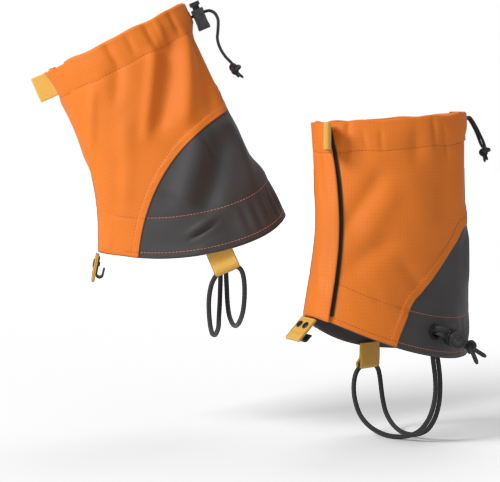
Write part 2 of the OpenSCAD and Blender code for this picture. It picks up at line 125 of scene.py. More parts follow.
def unit(v: Array) -> Array:
    """Vectors along the last axis, scaled to length one."""
    return v / np.maximum(np.linalg.norm(v, axis=-1, keepdims=True), 1e-12)


def smooth_route(points: Sequence[Sequence[float]], step: float) -> Array:
    """A smooth curve through points, with even spacing.

    Args:
        points: The route's points.
        step: Distance between the curve's own points, in the same unit.

    Returns:
        The curve's points, one row each.
    """
    p = np.asarray(points, float)
    p = np.vstack([2 * p[0] - p[1], p, 2 * p[-1] - p[-2]])
    fine = []
    for a, b, c, d in zip(p[:-3], p[1:-2], p[2:-1], p[3:]):
        k = np.linspace(0.0, 1.0, 16, endpoint=False)[:, None]
        fine.append(0.5 * (2 * b + (c - a) * k + (2 * a - 5 * b + 4 * c - d) * k**2
                           + (3 * b - a - 3 * c + d) * k**3))
    fine = np.vstack(fine + [p[-2:-1]])
    return resample(fine, step)


def resample(points: Array, step: float) -> Array:
    """Points spread evenly along a polyline, about step apart."""
    gaps = np.linalg.norm(np.diff(points, axis=0), axis=1)
    run = np.concatenate([[0.0], np.cumsum(gaps)])
    count = max(2, int(round(run[-1] / step)) + 1)
    where = np.linspace(0.0, run[-1], count)
    return np.stack([np.interp(where, run, points[:, i]) for i in range(points.shape[1])], -1)


# ---- The sleeve: its shape, its folds and the lines drawn on it ----


@dataclass(frozen=True)
class Fold:
    """A ridge or valley in the cloth, along a straight line on the sleeve.

    Args:
        start: Angle and height where it starts.
        stop: Angle and height where it ends.
        width: How far it spreads to each side, in millimetres.
        rise: Height over the sleeve; negative for a valley.
    """

    start: tuple[float, float]
    stop: tuple[float, float]
    width: float
    rise: float


BACK_FOLDS = (
    Fold((150, 200), (140, 128), 10, 1.2),
    Fold((128, 205), (120, 130), 9, -1.1),
)

LEFT_FOLDS = (
    Fold((76, 174), (44, 126), 8, -2.8),
    Fold((84, 160), (58, 116), 9, 1.8),
    Fold((78, 115), (44, 89), 9, -2.6),
    Fold((82, 94), (98, 66), 7, -2.0),
    Fold((60, 84), (74, 60), 12, 1.2),
    Fold((52, 224), (49, 194), 3.2, -2.0),
    Fold((63, 212), (65, 198), 2.6, -0.9),
    Fold((77, 213), (77, 196), 2.6, -0.9),
    Fold((104, 216), (102, 186), 6, -1.2),
    Fold((118, 224), (119, 198), 2.8, -1.2),
    Fold((128, 214), (131, 190), 2.6, -1.1),
    Fold((96, 180), (104, 120), 14, 1.2),
    Fold((152, 138), (136, 112), 6, 1.8),
    Fold((154, 120), (148, 70), 8, 2.0),
    Fold((128, 110), (116, 60), 13, -1.6),
    Fold((177, 206), (176, 120), 20, -3.0),
    Fold((8, 205), (6, 150), 7, 1.4),
    Fold((0, 120), (6, 66), 7, -1.6),
    Fold((20, 190), (24, 150), 5, -1.0),
    Fold((14, 96), (20, 60), 5, 1.2),
    Fold((-60, 212), (-52, 120), 10, -2.0),
    Fold((-84, 214), (-76, 110), 9, 2.4),
    Fold((-108, 214), (-98, 110), 10, -3.2),
    Fold((-132, 212), (-124, 120), 9, 2.2),
    Fold((-160, 150), (-136, 60), 12, 2.4),
    Fold((-120, 96), (-100, 52), 11, -2.8),
) + BACK_FOLDS

RIGHT_FOLDS = (
    Fold((-130, 204), (-92, 130), 10, -5.0),
    Fold((-112, 200), (-82, 128), 6, 2.8),
    Fold((-146, 200), (-112, 126), 8, 4.0),
    Fold((-160, 200), (-137, 128), 9, -4.0),
    Fold((-82, 198), (-70, 168), 7, -2.4),
    Fold((-74, 150), (-50, 80), 9, 2.4),
    Fold((-56, 186), (-36, 140), 6, 1.8),
    Fold((-60, 120), (-42, 74), 8, -1.8),
    Fold((-119, 112), (-88, 56), 11, 4.6),
    Fold((-134, 98), (-100, 46), 11, -6.0),
    Fold((-114, 32), (-109, 10), 10, -2.4),
    Fold((-130, 112), (-156, 108), 7, 2.2),
    Fold((-154, 98), (-140, 46), 10, 2.6),
    Fold((-105, 31), (-89, 27), 2.4, -3.4),
    Fold((-104, 36), (-88, 32), 3.0, 1.8),
    Fold((-107, 9), (-91, 7), 2.4, -3.0),
    Fold((-106, 15), (-90, 13), 3.2, 1.6),
    Fold((-79, 224), (-82, 198), 3.6, -2.0),
    Fold((-96, 222), (-97, 202), 3.2, -1.3),
    Fold((-112, 224), (-114, 198), 3.4, -2.2),
    Fold((-122, 224), (-123, 198), 3.2, 1.8),
    Fold((-138, 226), (-139, 204), 4, -2.4),
    Fold((-118, 108), (-123, 90), 3, -2.4),
    Fold((-80, 74), (-90, 56), 4, -1.8),
    Fold((-66, 40), (-84, 20), 6, -1.2),
    Fold((-178, 204), (-176, 66), 24, -6.5),
    Fold((6, 194), (2, 124), 20, 4.5),
    Fold((-30, 60), (-24, 44), 5, 1.2),
    Fold((60, 210), (52, 120), 10, -2.2),
    Fold((84, 212), (76, 108), 10, 2.6),
    Fold((108, 210), (98, 110), 9, -3.0),
    Fold((132, 100), (104, 50), 12, -2.8),
    Fold((160, 110), (140, 50), 11, 2.4),
) + BACK_FOLDS

MM_PER_DEGREE = 1.2          # a usual width of one degree round the sleeve


@dataclass(frozen=True)
class Attitude:
    """Where a gaiter stands in the world, and how it leans and turns."""

    origin: tuple[float, float, float]
    pitch: float
    yaw: float
    mirrored: bool

    def matrix(self) -> Matrix:
        """The matrix from the gaiter's frame in millimetres to the world in metres."""
        flip = Matrix.Diagonal((1, -1 if self.mirrored else 1, 1, 1))
        turn = Matrix.Rotation(math.radians(-90 - self.yaw), 4, "Z")
        lean = Matrix.Rotation(math.radians(self.pitch), 4, "Y")
        return Matrix.Translation(self.origin) @ turn @ lean @ flip @ Matrix.Scale(MM, 4)


@dataclass(frozen=True)
class Sleeve:
    """The cloth tube of one gaiter as formulas, in its own frame in millimetres."""

    side: Side
    attitude: Attitude
    folds: tuple[Fold, ...]
    collar_z: float = 220.0
    collar_rise: float = 9.0
    collar_len: float = 70.0
    collar_wid: float = 33.0
    hem_len: float = 90.0
    hem_wid: float = 50.0
    instep_z: float = 46.0
    sleeve_top: float = 228.0
    sleeve_h: float = 220.0
    casing_h: float = 27.0
    facing_h: float = 38.0
    fold_angle: float = -38.0

    @property
    def left(self) -> bool:
        """True for the left gaiter."""
        return self.side is Side.LEFT

    def widen(self, z: Array) -> Array:
        """0 at the collar, 1 near the hem."""
        return np.maximum(0.0, (self.sleeve_top - z) / self.sleeve_h)

    def half_len(self, z: Array) -> Array:
        """Half the sleeve's length fore and aft at a height."""
        return self.collar_len + (self.hem_len - self.collar_len) * self.widen(z) ** 1.5

    def half_wid(self, z: Array) -> Array:
        """Half the sleeve's width at a height."""
        return self.collar_wid + (self.hem_wid - self.collar_wid) * self.widen(z)

    def middle(self, z: Array) -> Array:
        """How far the section's middle is shifted forwards at a height."""
        k = self.widen(z) ** 2
        return 3.0 + k if self.left else -6.0 + 10.0 * k

    def turn(self, z: Array) -> Array:
        """How far the section is turned about the leg, in radians."""
        if not self.left:
            return np.zeros_like(z)
        return np.radians(34.0) * np.maximum(0.0, 1.0 - self.widen(z)) ** 0.8

    def hem_z(self, t: Array) -> Array:
        """Height of the hem at an angle."""
        c = np.cos(np.radians(t))
        return self.instep_z * ((1 + c) / 2) ** 2.2 + 8.0 * ((1 - c) / 2) ** 12

    def top_z(self, t: Array) -> Array:
        """Height of the collar's edge at an angle, a little uneven as sewn cloth is."""
        c = np.cos(np.radians(t))
        wave = 0.5 * np.sin(np.radians(t * 7 + 40)) + 0.35 * np.sin(np.radians(t * 13))
        return self.collar_z + self.collar_rise * ((1 - c) / 2) ** 1.5 + wave

    def waist(self, t: Array, z: Array) -> Array:
        """How far the sleeve's front sits in above the instep."""
        size, sharp, centre = (8.0, 13.6, -10.0) if self.left else (14.0, 8.4, 8.0)
        high = np.sin(np.pi * np.clip((z - 48.0) / 170.0, 0.0, 1.0)) ** 0.9
        return size * high * np.exp(-sharp * (1 - np.cos(np.radians(t - centre))))

    def seam_z(self, t: Array) -> Array:
        """Height of the curved seam between the orange and the grey cloth."""
        t = wrap(t)
        u = 180 - np.abs(t)
        outer = 135.0 * np.maximum(0, 1 - np.clip(u / 113, 0, 1) ** 1.3) ** 0.72
        outer = outer + 5.0 * np.exp(-(((u - 39) / 8) ** 2)) + 4.5 * np.exp(-(((u - 93) / 6) ** 2))
        crest = 113 + 22 * np.maximum(0, 1 - u / 30) ** 1.5
        inner = crest * np.maximum(0, 1 - np.clip(u / 133, 0, 1) ** 3.2) ** 0.75
        return 8.0 + np.where(t >= 0, outer, inner)

    def share(self, z: Array) -> Array:
        """Share of the way up the front opening."""
        return np.clip((z - 36.0) / (222.0 - 36.0), 0.0, 1.0)

    def fold_t(self, z: Array) -> Array:
        """Angle of the flap's straight fold line."""
        return self.fold_angle + 2.6 * np.sin(np.pi * self.share(z))

    def edge_t(self, z: Array) -> Array:
        """Angle of the flap's free edge."""
        k = self.share(z)
        return 22 + 18 * np.sin(np.radians(150) * k) - (0 if self.left else 24 * k**2)

    def drape(self, t: Array, z: Array) -> Array:
        """Folds, puckers and unevenness of the cloth, outwards in millimetres."""
        t, z = np.broadcast_arrays(np.asarray(t, float), np.asarray(z, float))
        out = np.zeros(t.shape)
        for fold in self.folds:
            out += fold_rise(fold, t, z)
        top, hem = self.top_z(t), self.hem_z(t)
        gather = np.sin(np.radians(t * 10)) + 0.6 * np.sin(np.radians(t * 16 + 50))
        stitch = z - (top - self.casing_h)
        out += 0.35 * gather * np.exp(-((stitch / 12) ** 2))
        out += 0.7 * np.exp(-(((z - top + 13) / 9) ** 2))
        out -= 0.45 * np.exp(-((stitch / 2.2) ** 2))
        ripple = np.sin(np.radians(t * 21)) + 0.5 * np.sin(np.radians(t * 33 + 20))
        out += 0.22 * ripple * np.exp(-(((z - hem - self.facing_h) / 6) ** 2))
        elastic = ease(np.abs(t), 112, 128)
        out += 1.0 * elastic * np.sin(np.radians(t * 38)) * np.exp(-(((z - hem - 20) / 13) ** 2))
        out -= 0.35 * np.exp(-(((z - hem - self.facing_h) / 1.8) ** 2))
        out += 0.5 * np.sin(np.radians(2 * t + 1.9 * z)) * np.sin(np.radians(1.7 * z - t))
        return out * self.calm(t, z)

    def calm(self, t: Array, z: Array) -> Array:
        """Keeps the cloth still where hardware is fastened to it."""
        hold = 1.0
        for t0, z0, reach in self.fastened():
            far = np.hypot(wrap(t - t0) * MM_PER_DEGREE, z - z0)
            hold = hold * ease(far, 0.45 * reach, 1.5 * reach)
        return hold

    def fastened(self) -> tuple[tuple[float, float, float], ...]:
        """Angle, height and reach of each place where hardware is fastened."""
        return (
            (float(self.edge_t(208.0)), 208.0, 11.0),
            (self.exit_t, 218.0, 9.0),
            (*self.eyelet, 11.0),
            (-102.0, 6.0, 12.0),
            (1.0, 46.0, 11.0),
        )

    @property
    def eyelet(self) -> tuple[float, float]:
        """Angle and height of the foot cord's eyelet."""
        return (100.2, 30.0) if self.left else (96.0, 30.0)

    @property
    def exit_t(self) -> float:
        """Angle where the drawcord leaves the collar."""
        return -152.0 if self.left else 180.0

    def section(self, t: Array, z: Array, d: Array | float = 0.0) -> Array:
        """Points of the smooth sleeve, offset outwards by d."""
        t, z, d = np.broadcast_arrays(np.asarray(t, float), np.asarray(z, float), d)
        r = np.radians(t)
        a, b = self.half_len(z), self.half_wid(z)
        nx, ny = np.cos(r) / a, np.sin(r) / b
        size = np.hypot(nx, ny)
        x = a * np.cos(r) + d * nx / size - self.waist(t, z)
        y = b * np.sin(r) + d * ny / size
        w = -self.turn(z)
        return np.stack([x * np.cos(w) - y * np.sin(w) + self.middle(z),
                         x * np.sin(w) + y * np.cos(w), z], -1)

    def cloth(self, t: Array, z: Array, d: Array | float = 0.0) -> Array:
        """Points of the draped sleeve, offset outwards by d."""
        return self.section(t, z, self.drape(wrap(t), z) + d)

    def outward(self, t: Array, z: Array) -> Array:
        """Outward directions of the smooth sleeve."""
        return unit(self.section(t, z, 1.0) - self.section(t, z, 0.0))

    @cached_property
    def half_rounds(self) -> tuple[Array, Array, Array]:
        """Heights, angles and the distance from the front to each angle at each height."""
        levels = np.linspace(0.0, 232.0, 59)
        angles = np.linspace(0.0, 180.0, 361)
        r = np.radians(angles)
        a, b = self.half_len(levels)[:, None], self.half_wid(levels)[:, None]
        speed = np.sqrt((a * np.sin(r)) ** 2 + (b * np.cos(r)) ** 2)
        steps = 0.5 * (speed[:, 1:] + speed[:, :-1]) * np.diff(r)
        return levels, angles, np.hstack([np.zeros((59, 1)), np.cumsum(steps, 1)])

    def arc(self, t: Array, z: Array | float) -> Array:
        """Distance round the sleeve from the front to an angle, at a height."""
        t, z = np.broadcast_arrays(np.asarray(t, float), np.asarray(z, float))
        levels, angles, table = self.half_rounds
        behind = np.abs(t) > 180.0
        angle = np.where(behind, 360.0 - np.abs(t), np.abs(t))
        row = np.clip(z / (levels[1] - levels[0]), 0, len(levels) - 1.001)
        col = np.clip(angle * 2.0, 0, len(angles) - 1.001)
        i, j = row.astype(int), col.astype(int)
        f, g = row - i, col - j
        low = table[i, j] * (1 - g) + table[i, j + 1] * g
        high = table[i + 1, j] * (1 - g) + table[i + 1, j + 1] * g
        run = low * (1 - f) + high * f
        half = table[i, -1] * (1 - f) + table[i + 1, -1] * f
        return np.sign(t) * np.where(behind, 2 * half - run, run)

    def seam_line(self, outer: bool) -> Array:
        """Angles and heights along the curved seam, from the hem up to the back."""
        if outer:
            t = 180 - 113 * np.sin(np.linspace(math.pi / 2, 0, 90))
        else:
            t = -180 + 133 * np.sin(np.linspace(math.pi / 2, 0, 90))
        z = self.seam_z(t)
        keep = z >= self.hem_z(t) - 6
        return np.stack([t[keep], z[keep]], -1)

    def flat(self, line: Array) -> Array:
        """A line's angles and heights as distances on the unrolled cloth."""
        return np.stack([self.arc(line[:, 0], 70.0 + 0 * line[:, 0]), line[:, 1]], -1)

    def seam_distance(self, t: Array, z: Array, outer: bool) -> Array:
        """Distance of points from the curved seam, measured on the cloth."""
        line = self.flat(self.seam_line(outer))
        spots = np.stack([self.arc(t, 70.0 + 0 * t), z], -1)
        a, b = line[:-1], line[1:]
        ab = b - a
        k = np.clip(((spots[..., None, :] - a) * ab).sum(-1) / (ab**2).sum(-1), 0, 1)
        near = a + ab * k[..., None]
        return np.linalg.norm(spots[..., None, :] - near, axis=-1).min(-1)

    def beside_seam(self, offset: float, outer: bool) -> Array:
        """Angles and heights of a line on the orange cloth, parallel to the seam."""
        line = resample(self.flat(self.seam_line(outer)), 2.0)
        along = unit(np.gradient(line, axis=0))
        turned = np.stack([-along[:, 1], along[:, 0]], -1) * (1.0 if outer else -1.0)
        moved = line + turned * offset
        fine = np.linspace(-186.0, 186.0, 745)
        t = np.interp(moved[:, 0], self.arc(fine, 70.0), fine)
        keep = (moved[:, 1] > self.hem_z(t)) & (np.abs(t) <= 180.5)
        return np.stack([t[keep], moved[keep, 1]], -1)

    def flap_share(self, t: Array, z: Array) -> Array:
        """0 behind the flap's fold line, up to 1 at its free edge."""
        fold = self.fold_t(z)
        return np.clip((t - fold) / (self.edge_t(z) - fold), 0.0, 1.0)

    def flap_rise(self, t: Array, z: Array) -> Array:
        """How far the flap stands off the cloth below it."""
        k = self.flap_share(t, z)
        return 3.9 * k + 0.3 * ease(k, 0.0, 0.1)


def wrap(t: Array | float) -> Array:
    """Angles brought into -180 to 180."""
    t = np.asarray(t, float)
    return np.where(np.abs(t) <= 180.0, t, (t + 180.0) % 360.0 - 180.0)


def fold_rise(fold: Fold, t: Array, z: Array) -> Array:
    """Height that one fold adds at each point."""
    t0, z0 = fold.start
    du = wrap(t - t0) * MM_PER_DEGREE
    dz = z - z0
    eu = float(wrap(fold.stop[0] - t0)) * MM_PER_DEGREE
    ez = fold.stop[1] - z0
    length = math.hypot(eu, ez)
    eu, ez = eu / length, ez / length
    along = du * eu + dz * ez
    across = du * ez - dz * eu
    spill = min(12.0, 0.4 * length)
    ends = ease(along, -spill, spill) * (1 - ease(along, length - spill, length + spill))
    return fold.rise * ends * np.exp(-((across / fold.width) ** 2))


# ---- Node building ----


class Graph:
    """A short way to write a material's or a group's nodes."""

    def __init__(self, tree: bpy.types.NodeTree) -> None:
        """Start on an empty tree."""
        self.tree = tree
        self.tree.nodes.clear()

    def node(self, kind: str, **settings: object) -> bpy.types.Node:
        """Add a node and set its properties."""
        made = self.tree.nodes.new(kind)
        for name, value in settings.items():
            setattr(made, name, value)
        return made

    def put(self, socket: bpy.types.NodeSocket, value: object) -> None:
        """Link a socket's source, or set the socket's own value."""
        if isinstance(value, bpy.types.NodeSocket):
            self.tree.links.new(value, socket)
        else:
            socket.default_value = value

    def math(self, operation: str, *values: object, clamp: bool = False) -> bpy.types.NodeSocket:
        """A Math node's result."""
        made = self.node("ShaderNodeMath", operation=operation, use_clamp=clamp)
        for socket, value in zip(made.inputs, values):
            self.put(socket, value)
        return made.outputs[0]

    def mix(self, factor: object, first: object, second: object) -> bpy.types.NodeSocket:
        """A colour mix."""
        made = self.node("ShaderNodeMix", data_type="RGBA")
        self.put(made.inputs[0], factor)
        self.put(made.inputs[6], first)
        self.put(made.inputs[7], second)
        return made.outputs[2]

    def span(self, value: object, low: float, high: float, to_low: float,
             to_high: float) -> bpy.types.NodeSocket:
        """A Map Range node's result."""
        made = self.node("ShaderNodeMapRange")
        for socket, number in zip(made.inputs, (value, low, high, to_low, to_high)):
            self.put(socket, number)
        return made.outputs[0]

    def noise(self, vector: object, scale: float, detail: float = 2.0) -> bpy.types.NodeSocket:
        """A noise texture's value."""
        made = self.node("ShaderNodeTexNoise")
        self.put(made.inputs["Vector"], vector)
        made.inputs["Scale"].default_value = scale
        made.inputs["Detail"].default_value = detail
        return made.outputs["Fac"]

    def bump(self, height: object, distance: float, strength: float = 1.0,
             normal: object = None) -> bpy.types.NodeSocket:
        """A Bump node's normal."""
        made = self.node("ShaderNodeBump")
        made.inputs["Strength"].default_value = strength
        made.inputs["Distance"].default_value = distance
        self.put(made.inputs["Height"], height)
        if normal is not None:
            self.put(made.inputs["Normal"], normal)
        return made.outputs["Normal"]

    def group(self, tree: bpy.types.NodeTree, **inputs: object) -> bpy.types.Node:
        """Place a node group and fill its inputs, by name with _ for a space."""
        made = self.node("ShaderNodeGroup", node_tree=tree)
        for name, value in inputs.items():
            self.put(made.inputs[name.replace("_", " ")], value)
        return made


def new_group(name: str, inputs: Iterable[tuple[str, str]],
              outputs: Iterable[tuple[str, str]]) -> tuple[Graph, dict, dict]:
    """Start a shader node group with named sockets.

    Args:
        name: The group's name.
        inputs: Socket names and types.
        outputs: Socket names and types.

    Returns:
        The graph, its input sockets by name and its output sockets by name.
    """
    tree = bpy.data.node_groups.new(name, "ShaderNodeTree")
    for label, kind in inputs:
        tree.interface.new_socket(name=label, in_out="INPUT", socket_type=kind)
    for label, kind in outputs:
        tree.interface.new_socket(name=label, in_out="OUTPUT", socket_type=kind)
    graph = Graph(tree)
    source = graph.node("NodeGroupInput").outputs
    target = graph.node("NodeGroupOutput").inputs
    return graph, {s.name: s for s in source}, {s.name: s for s in target}


def waves(graph: Graph, value: object, pitch: object) -> bpy.types.NodeSocket:
    """A sine of value, one wave for each pitch."""
    turns = graph.math("DIVIDE", value, pitch)
    return graph.math("SINE", graph.math("MULTIPLY", turns, math.tau))


def thread_grid_group() -> bpy.types.NodeTree:
    """Plain weave with heavier ripstop threads, from a UV map in metres."""
    graph, given, out = new_group(
        "ThreadGrid",
        [("UV", "NodeSocketVector"), ("Thread", "NodeSocketFloat"), ("Cell", "NodeSocketFloat")],
        [("Weave", "NodeSocketFloat"), ("Ribs", "NodeSocketFloat")],
    )
    split = graph.node("ShaderNodeSeparateXYZ")
    graph.put(split.inputs[0], given["UV"])
    across = waves(graph, split.outputs[0], given["Thread"])
    along = waves(graph, split.outputs[1], given["Thread"])
    graph.put(out["Weave"], graph.math("MULTIPLY", across, along))
    ribs = []
    for axis in (0, 1):
        cell = graph.math("DIVIDE", split.outputs[axis], given["Cell"])
        off = graph.math("ABSOLUTE", graph.math("SUBTRACT", graph.math("FRACT", cell), 0.5))
        ribs.append(graph.span(off, 0.13, 0.05, 0.0, 1.0))
    graph.put(out["Ribs"], graph.math("MAXIMUM", *ribs))
    return graph.tree


def grain_group() -> bpy.types.NodeTree:
    """Uneven tone at a broad and a fine scale."""
    graph, given, out = new_group(
        "Grain",
        [("Vector", "NodeSocketVector")],
        [("Broad", "NodeSocketFloat"), ("Fine", "NodeSocketFloat")],
    )
    graph.put(out["Broad"], graph.noise(given["Vector"], 22.0, 3.0))
    graph.put(out["Fine"], graph.noise(given["Vector"], 900.0, 2.0))
    return graph.tree


def braid_group() -> bpy.types.NodeTree:
    """Crossing strands of a braid, with u along the cord in metres and v once round it."""
    graph, given, out = new_group(
        "Braid",
        [("UV", "NodeSocketVector"), ("Pitch", "NodeSocketFloat"), ("Strands", "NodeSocketFloat")],
        [("Height", "NodeSocketFloat")],
    )
    split = graph.node("ShaderNodeSeparateXYZ")
    graph.put(split.inputs[0], given["UV"])
    run = graph.math("DIVIDE", split.outputs[0], given["Pitch"])
    round_it = graph.math("MULTIPLY", split.outputs[1], given["Strands"])
    one = graph.math("SINE", graph.math("MULTIPLY", graph.math("ADD", run, round_it), math.tau))
    two = graph.math("SINE", graph.math("MULTIPLY", graph.math("SUBTRACT", run, round_it),
                                        math.tau))
    graph.put(out["Height"], graph.math("MULTIPLY", one, two))
    return graph.tree


def painted_edge_highlight_group() -> bpy.types.NodeTree:
    """A mask of sharp edges for a painted highlight, broken up by noise."""
    graph, given, out = new_group(
        "PaintedEdgeHighlight", [("Vector", "NodeSocketVector")], [("PaintedHighlight", "NodeSocketFloat")]
    )
    geometry = graph.node("ShaderNodeNewGeometry")
    # Pointiness picks the sharp edges that get the painted highlight.
    sharp = graph.span(geometry.outputs["Pointiness"], 0.52, 0.60, 0.0, 1.0)
    broken = graph.span(graph.noise(given["Vector"], 600.0, 3.0), 0.35, 0.65, 0.2, 1.0)
    graph.put(out["PaintedHighlight"], graph.math("MULTIPLY", sharp, broken, clamp=True))
    return graph.tree


Colour = tuple[float, float, float]


def rgba(colour: Colour, gain: float = 1.0) -> tuple[float, float, float, float]:
    """A colour with full alpha, scaled by gain."""
    return (colour[0] * gain, colour[1] * gain, colour[2] * gain, 1.0)


class Palette:
    """All finishes, each made once, with the shared node groups."""

    def __init__(self) -> None:
        """Build the shared groups."""
        self.thread_grid = thread_grid_group()
        self.grain = grain_group()
        self.braid = braid_group()
        self.painted_edge_highlight = painted_edge_highlight_group()
        self.made: dict[str, bpy.types.Material] = {}

    def get(self, finish: "Finish") -> bpy.types.Material:
        """The material of a finish, made when first asked for."""
        if finish.name not in self.made:
            material = bpy.data.materials.new(finish.name)
            material.use_nodes = True
            graph = Graph(material.node_tree)
            shader = graph.node("ShaderNodeBsdfPrincipled")
            output = graph.node("ShaderNodeOutputMaterial")
            graph.put(output.inputs[0], shader.outputs[0])
            finish.fill(graph, shader, self)
            material.diffuse_color = rgba(finish.colour)
            self.made[finish.name] = material
        return self.made[finish.name]


@dataclass(frozen=True)
class Finish:
    """A material's name, the record's slot it stands for, and its main colour."""

    name: str
    slot: str
    colour: Colour

    def fill(self, graph: Graph, shader: bpy.types.Node, palette: Palette) -> None:
        """Add the finish's own nodes."""
        raise NotImplementedError

    @staticmethod
    def uv(graph: Graph) -> bpy.types.NodeSocket:
        """The piece's own UV map."""
        return graph.node("ShaderNodeUVMap", uv_map="cloth").outputs[0]

    @staticmethod
    def place(graph: Graph) -> bpy.types.NodeSocket:
        """Coordinates on the object."""
        return graph.node("ShaderNodeTexCoord").outputs["Object"]


@dataclass(frozen=True)
class WovenCloth(Finish):
    """Woven nylon, with or without the heavier ripstop threads."""

    ribs: float = 0.0
    roughness: float = 0.55
    sheen: float = 0.08
    sheen_tint: Colour = (1.0, 0.8, 0.6)
    cell: float = 0.0034
    thread: float = 0.0007
    tone: float = 0.12

    def fill(self, graph: Graph, shader: bpy.types.Node, palette: Palette) -> None:
        """Weave, ripstop grid, uneven tone and a light sheen."""
        uv = self.uv(graph)
        weave = graph.group(palette.thread_grid, UV=uv, Thread=self.thread, Cell=self.cell)
        grain = graph.group(palette.grain, Vector=self.place(graph))
        base = graph.mix(grain.outputs["Broad"], rgba(self.colour, 1 - self.tone),
                         rgba(self.colour, 1 + self.tone))
        threads = graph.span(weave.outputs["Weave"], -1.0, 1.0, 0.0, 0.28)
        base = graph.mix(threads, base, rgba(self.colour, 0.72))
        if self.ribs:
            ribs = graph.math("MULTIPLY", weave.outputs["Ribs"], self.ribs)
            base = graph.mix(ribs, base, rgba(self.colour, 0.70))
        graph.put(shader.inputs["Base Color"], base)
        rough = graph.span(grain.outputs["Fine"], 0.3, 0.7, self.roughness - 0.06,
                           self.roughness + 0.06)
        graph.put(shader.inputs["Roughness"], rough)
        shader.inputs["Sheen Weight"].default_value = self.sheen
        shader.inputs["Sheen Roughness"].default_value = 0.4
        shader.inputs["Sheen Tint"].default_value = rgba(self.sheen_tint)
        shader.inputs["Specular IOR Level"].default_value = 0.35
        fine = graph.bump(weave.outputs["Weave"], 0.00006, 0.5)
        height = graph.math("MULTIPLY", weave.outputs["Ribs"], 1.0 if self.ribs else 0.0)
        graph.put(shader.inputs["Normal"], graph.bump(height, 0.00005, 0.4, fine))


@dataclass(frozen=True)
class Webbing(Finish):
    """Woven webbing with ribs across its length."""

    rib: float = 0.0011

    def fill(self, graph: Graph, shader: bpy.types.Node, palette: Palette) -> None:
        """Fine ribs with painted shade in the grooves between them, warp lines and a soft sheen."""
        uv = self.uv(graph)
        weave = graph.group(palette.thread_grid, UV=uv, Thread=self.rib, Cell=0.004)
        grain = graph.group(palette.grain, Vector=self.place(graph))
        split = graph.node("ShaderNodeSeparateXYZ")
        graph.put(split.inputs[0], uv)
        ribs = waves(graph, split.outputs[1], self.rib)
        base = graph.mix(grain.outputs["Fine"], rgba(self.colour, 0.82), rgba(self.colour, 1.12))
        # The grooves between the ribs are painted darker: painted shade.
        painted_groove_shade = graph.span(ribs, -1.0, 0.4, 0.55, 0.0)
        base = graph.mix(painted_groove_shade, base, rgba(self.colour, 0.62))
        graph.put(shader.inputs["Base Color"], base)
        shader.inputs["Roughness"].default_value = 0.6
        shader.inputs["Sheen Weight"].default_value = 0.3
        shader.inputs["Sheen Tint"].default_value = rgba((1.0, 0.85, 0.5))
        height = graph.math("ADD", ribs, graph.math("MULTIPLY", weave.outputs["Weave"], 0.5))
        graph.put(shader.inputs["Normal"], graph.bump(height, 0.00012, 0.7))


@dataclass(frozen=True)
class BraidedCord(Finish):
    """Braided polyester cord."""

    pitch: float = 0.0022
    strands: float = 4.0

    def fill(self, graph: Graph, shader: bpy.types.Node, palette: Palette) -> None:
        """Crossing strands with painted highlights on their crests and painted shade between them,
        and a faint sheen.
        """
        braid = graph.group(palette.braid, UV=self.uv(graph), Pitch=self.pitch,
                            Strands=self.strands)
        grain = graph.group(palette.grain, Vector=self.place(graph))
        # Strand crests are painted lighter and the hollows between them darker: painted highlight
        # and painted shade.
        painted_strand_light = graph.span(braid.outputs[0], -1.0, 1.0, 0.0, 1.0)
        base = graph.mix(painted_strand_light, rgba(self.colour, 0.5), rgba(self.colour, 1.7))
        base = graph.mix(graph.span(grain.outputs["Fine"], 0.4, 0.7, 0.0, 0.3), base,
                         rgba(self.colour, 2.4))
        graph.put(shader.inputs["Base Color"], base)
        shader.inputs["Roughness"].default_value = 0.62
        shader.inputs["Sheen Weight"].default_value = 0.2
        graph.put(shader.inputs["Normal"], graph.bump(braid.outputs[0], 0.00022, 0.8))


@dataclass(frozen=True)
class Hard(Finish):
    """Moulded plastic or lacquered metal, with a painted highlight along its sharp edges."""

    roughness: float = 0.4
    metallic: float = 0.0
    coat: float = 0.0
    # Colour of the painted highlight along sharp edges.
    painted_highlight_colour: Colour = (0.09, 0.09, 0.095)

    def fill(self, graph: Graph, shader: bpy.types.Node, palette: Palette) -> None:
        """Fine mould grain, uneven gloss and a painted highlight on the sharp edges."""
        place = self.place(graph)
        grain = graph.group(palette.grain, Vector=place)
        painted_highlight_mask = graph.group(palette.painted_edge_highlight, Vector=place)
        base = graph.mix(grain.outputs["Broad"], rgba(self.colour, 0.8), rgba(self.colour, 1.25))
        # Sharp edges are mixed towards a lighter colour: a painted highlight along the edges.
        base = graph.mix(graph.math("MULTIPLY", painted_highlight_mask.outputs[0], 0.6), base, rgba(self.painted_highlight_colour))
        graph.put(shader.inputs["Base Color"], base)
        graph.put(shader.inputs["Roughness"],
                  graph.span(grain.outputs["Fine"], 0.3, 0.7, self.roughness - 0.07,
                             self.roughness + 0.09))
        shader.inputs["Metallic"].default_value = self.metallic
        shader.inputs["Coat Weight"].default_value = self.coat
        graph.put(shader.inputs["Normal"], graph.bump(grain.outputs["Fine"], 0.00002, 0.4))


@dataclass(frozen=True)
class Pile(Finish):
    """Hook-and-loop tape."""

    def fill(self, graph: Graph, shader: bpy.types.Node, palette: Palette) -> None:
        """A dense, matt pile."""
        place = self.place(graph)
        tuft = graph.noise(place, 2600.0, 3.0)
        base = graph.mix(tuft, rgba(self.colour, 0.5), rgba(self.colour, 2.2))
        graph.put(shader.inputs["Base Color"], base)
        shader.inputs["Roughness"].default_value = 0.9
        shader.inputs["Sheen Weight"].default_value = 0.15
        graph.put(shader.inputs["Normal"], graph.bump(tuft, 0.0004, 0.9))


@dataclass(frozen=True)
class Thread(Finish):
    """Sewing thread."""

    def fill(self, graph: Graph, shader: bpy.types.Node, palette: Palette) -> None:
        """Fine twist with a low gloss."""
        twist = graph.noise(self.place(graph), 3200.0, 1.0)
        base = graph.mix(twist, rgba(self.colour, 0.7), rgba(self.colour, 1.25))
        graph.put(shader.inputs["Base Color"], base)
        shader.inputs["Roughness"].default_value = 0.5
        graph.put(shader.inputs["Normal"], graph.bump(twist, 0.0001, 0.5))


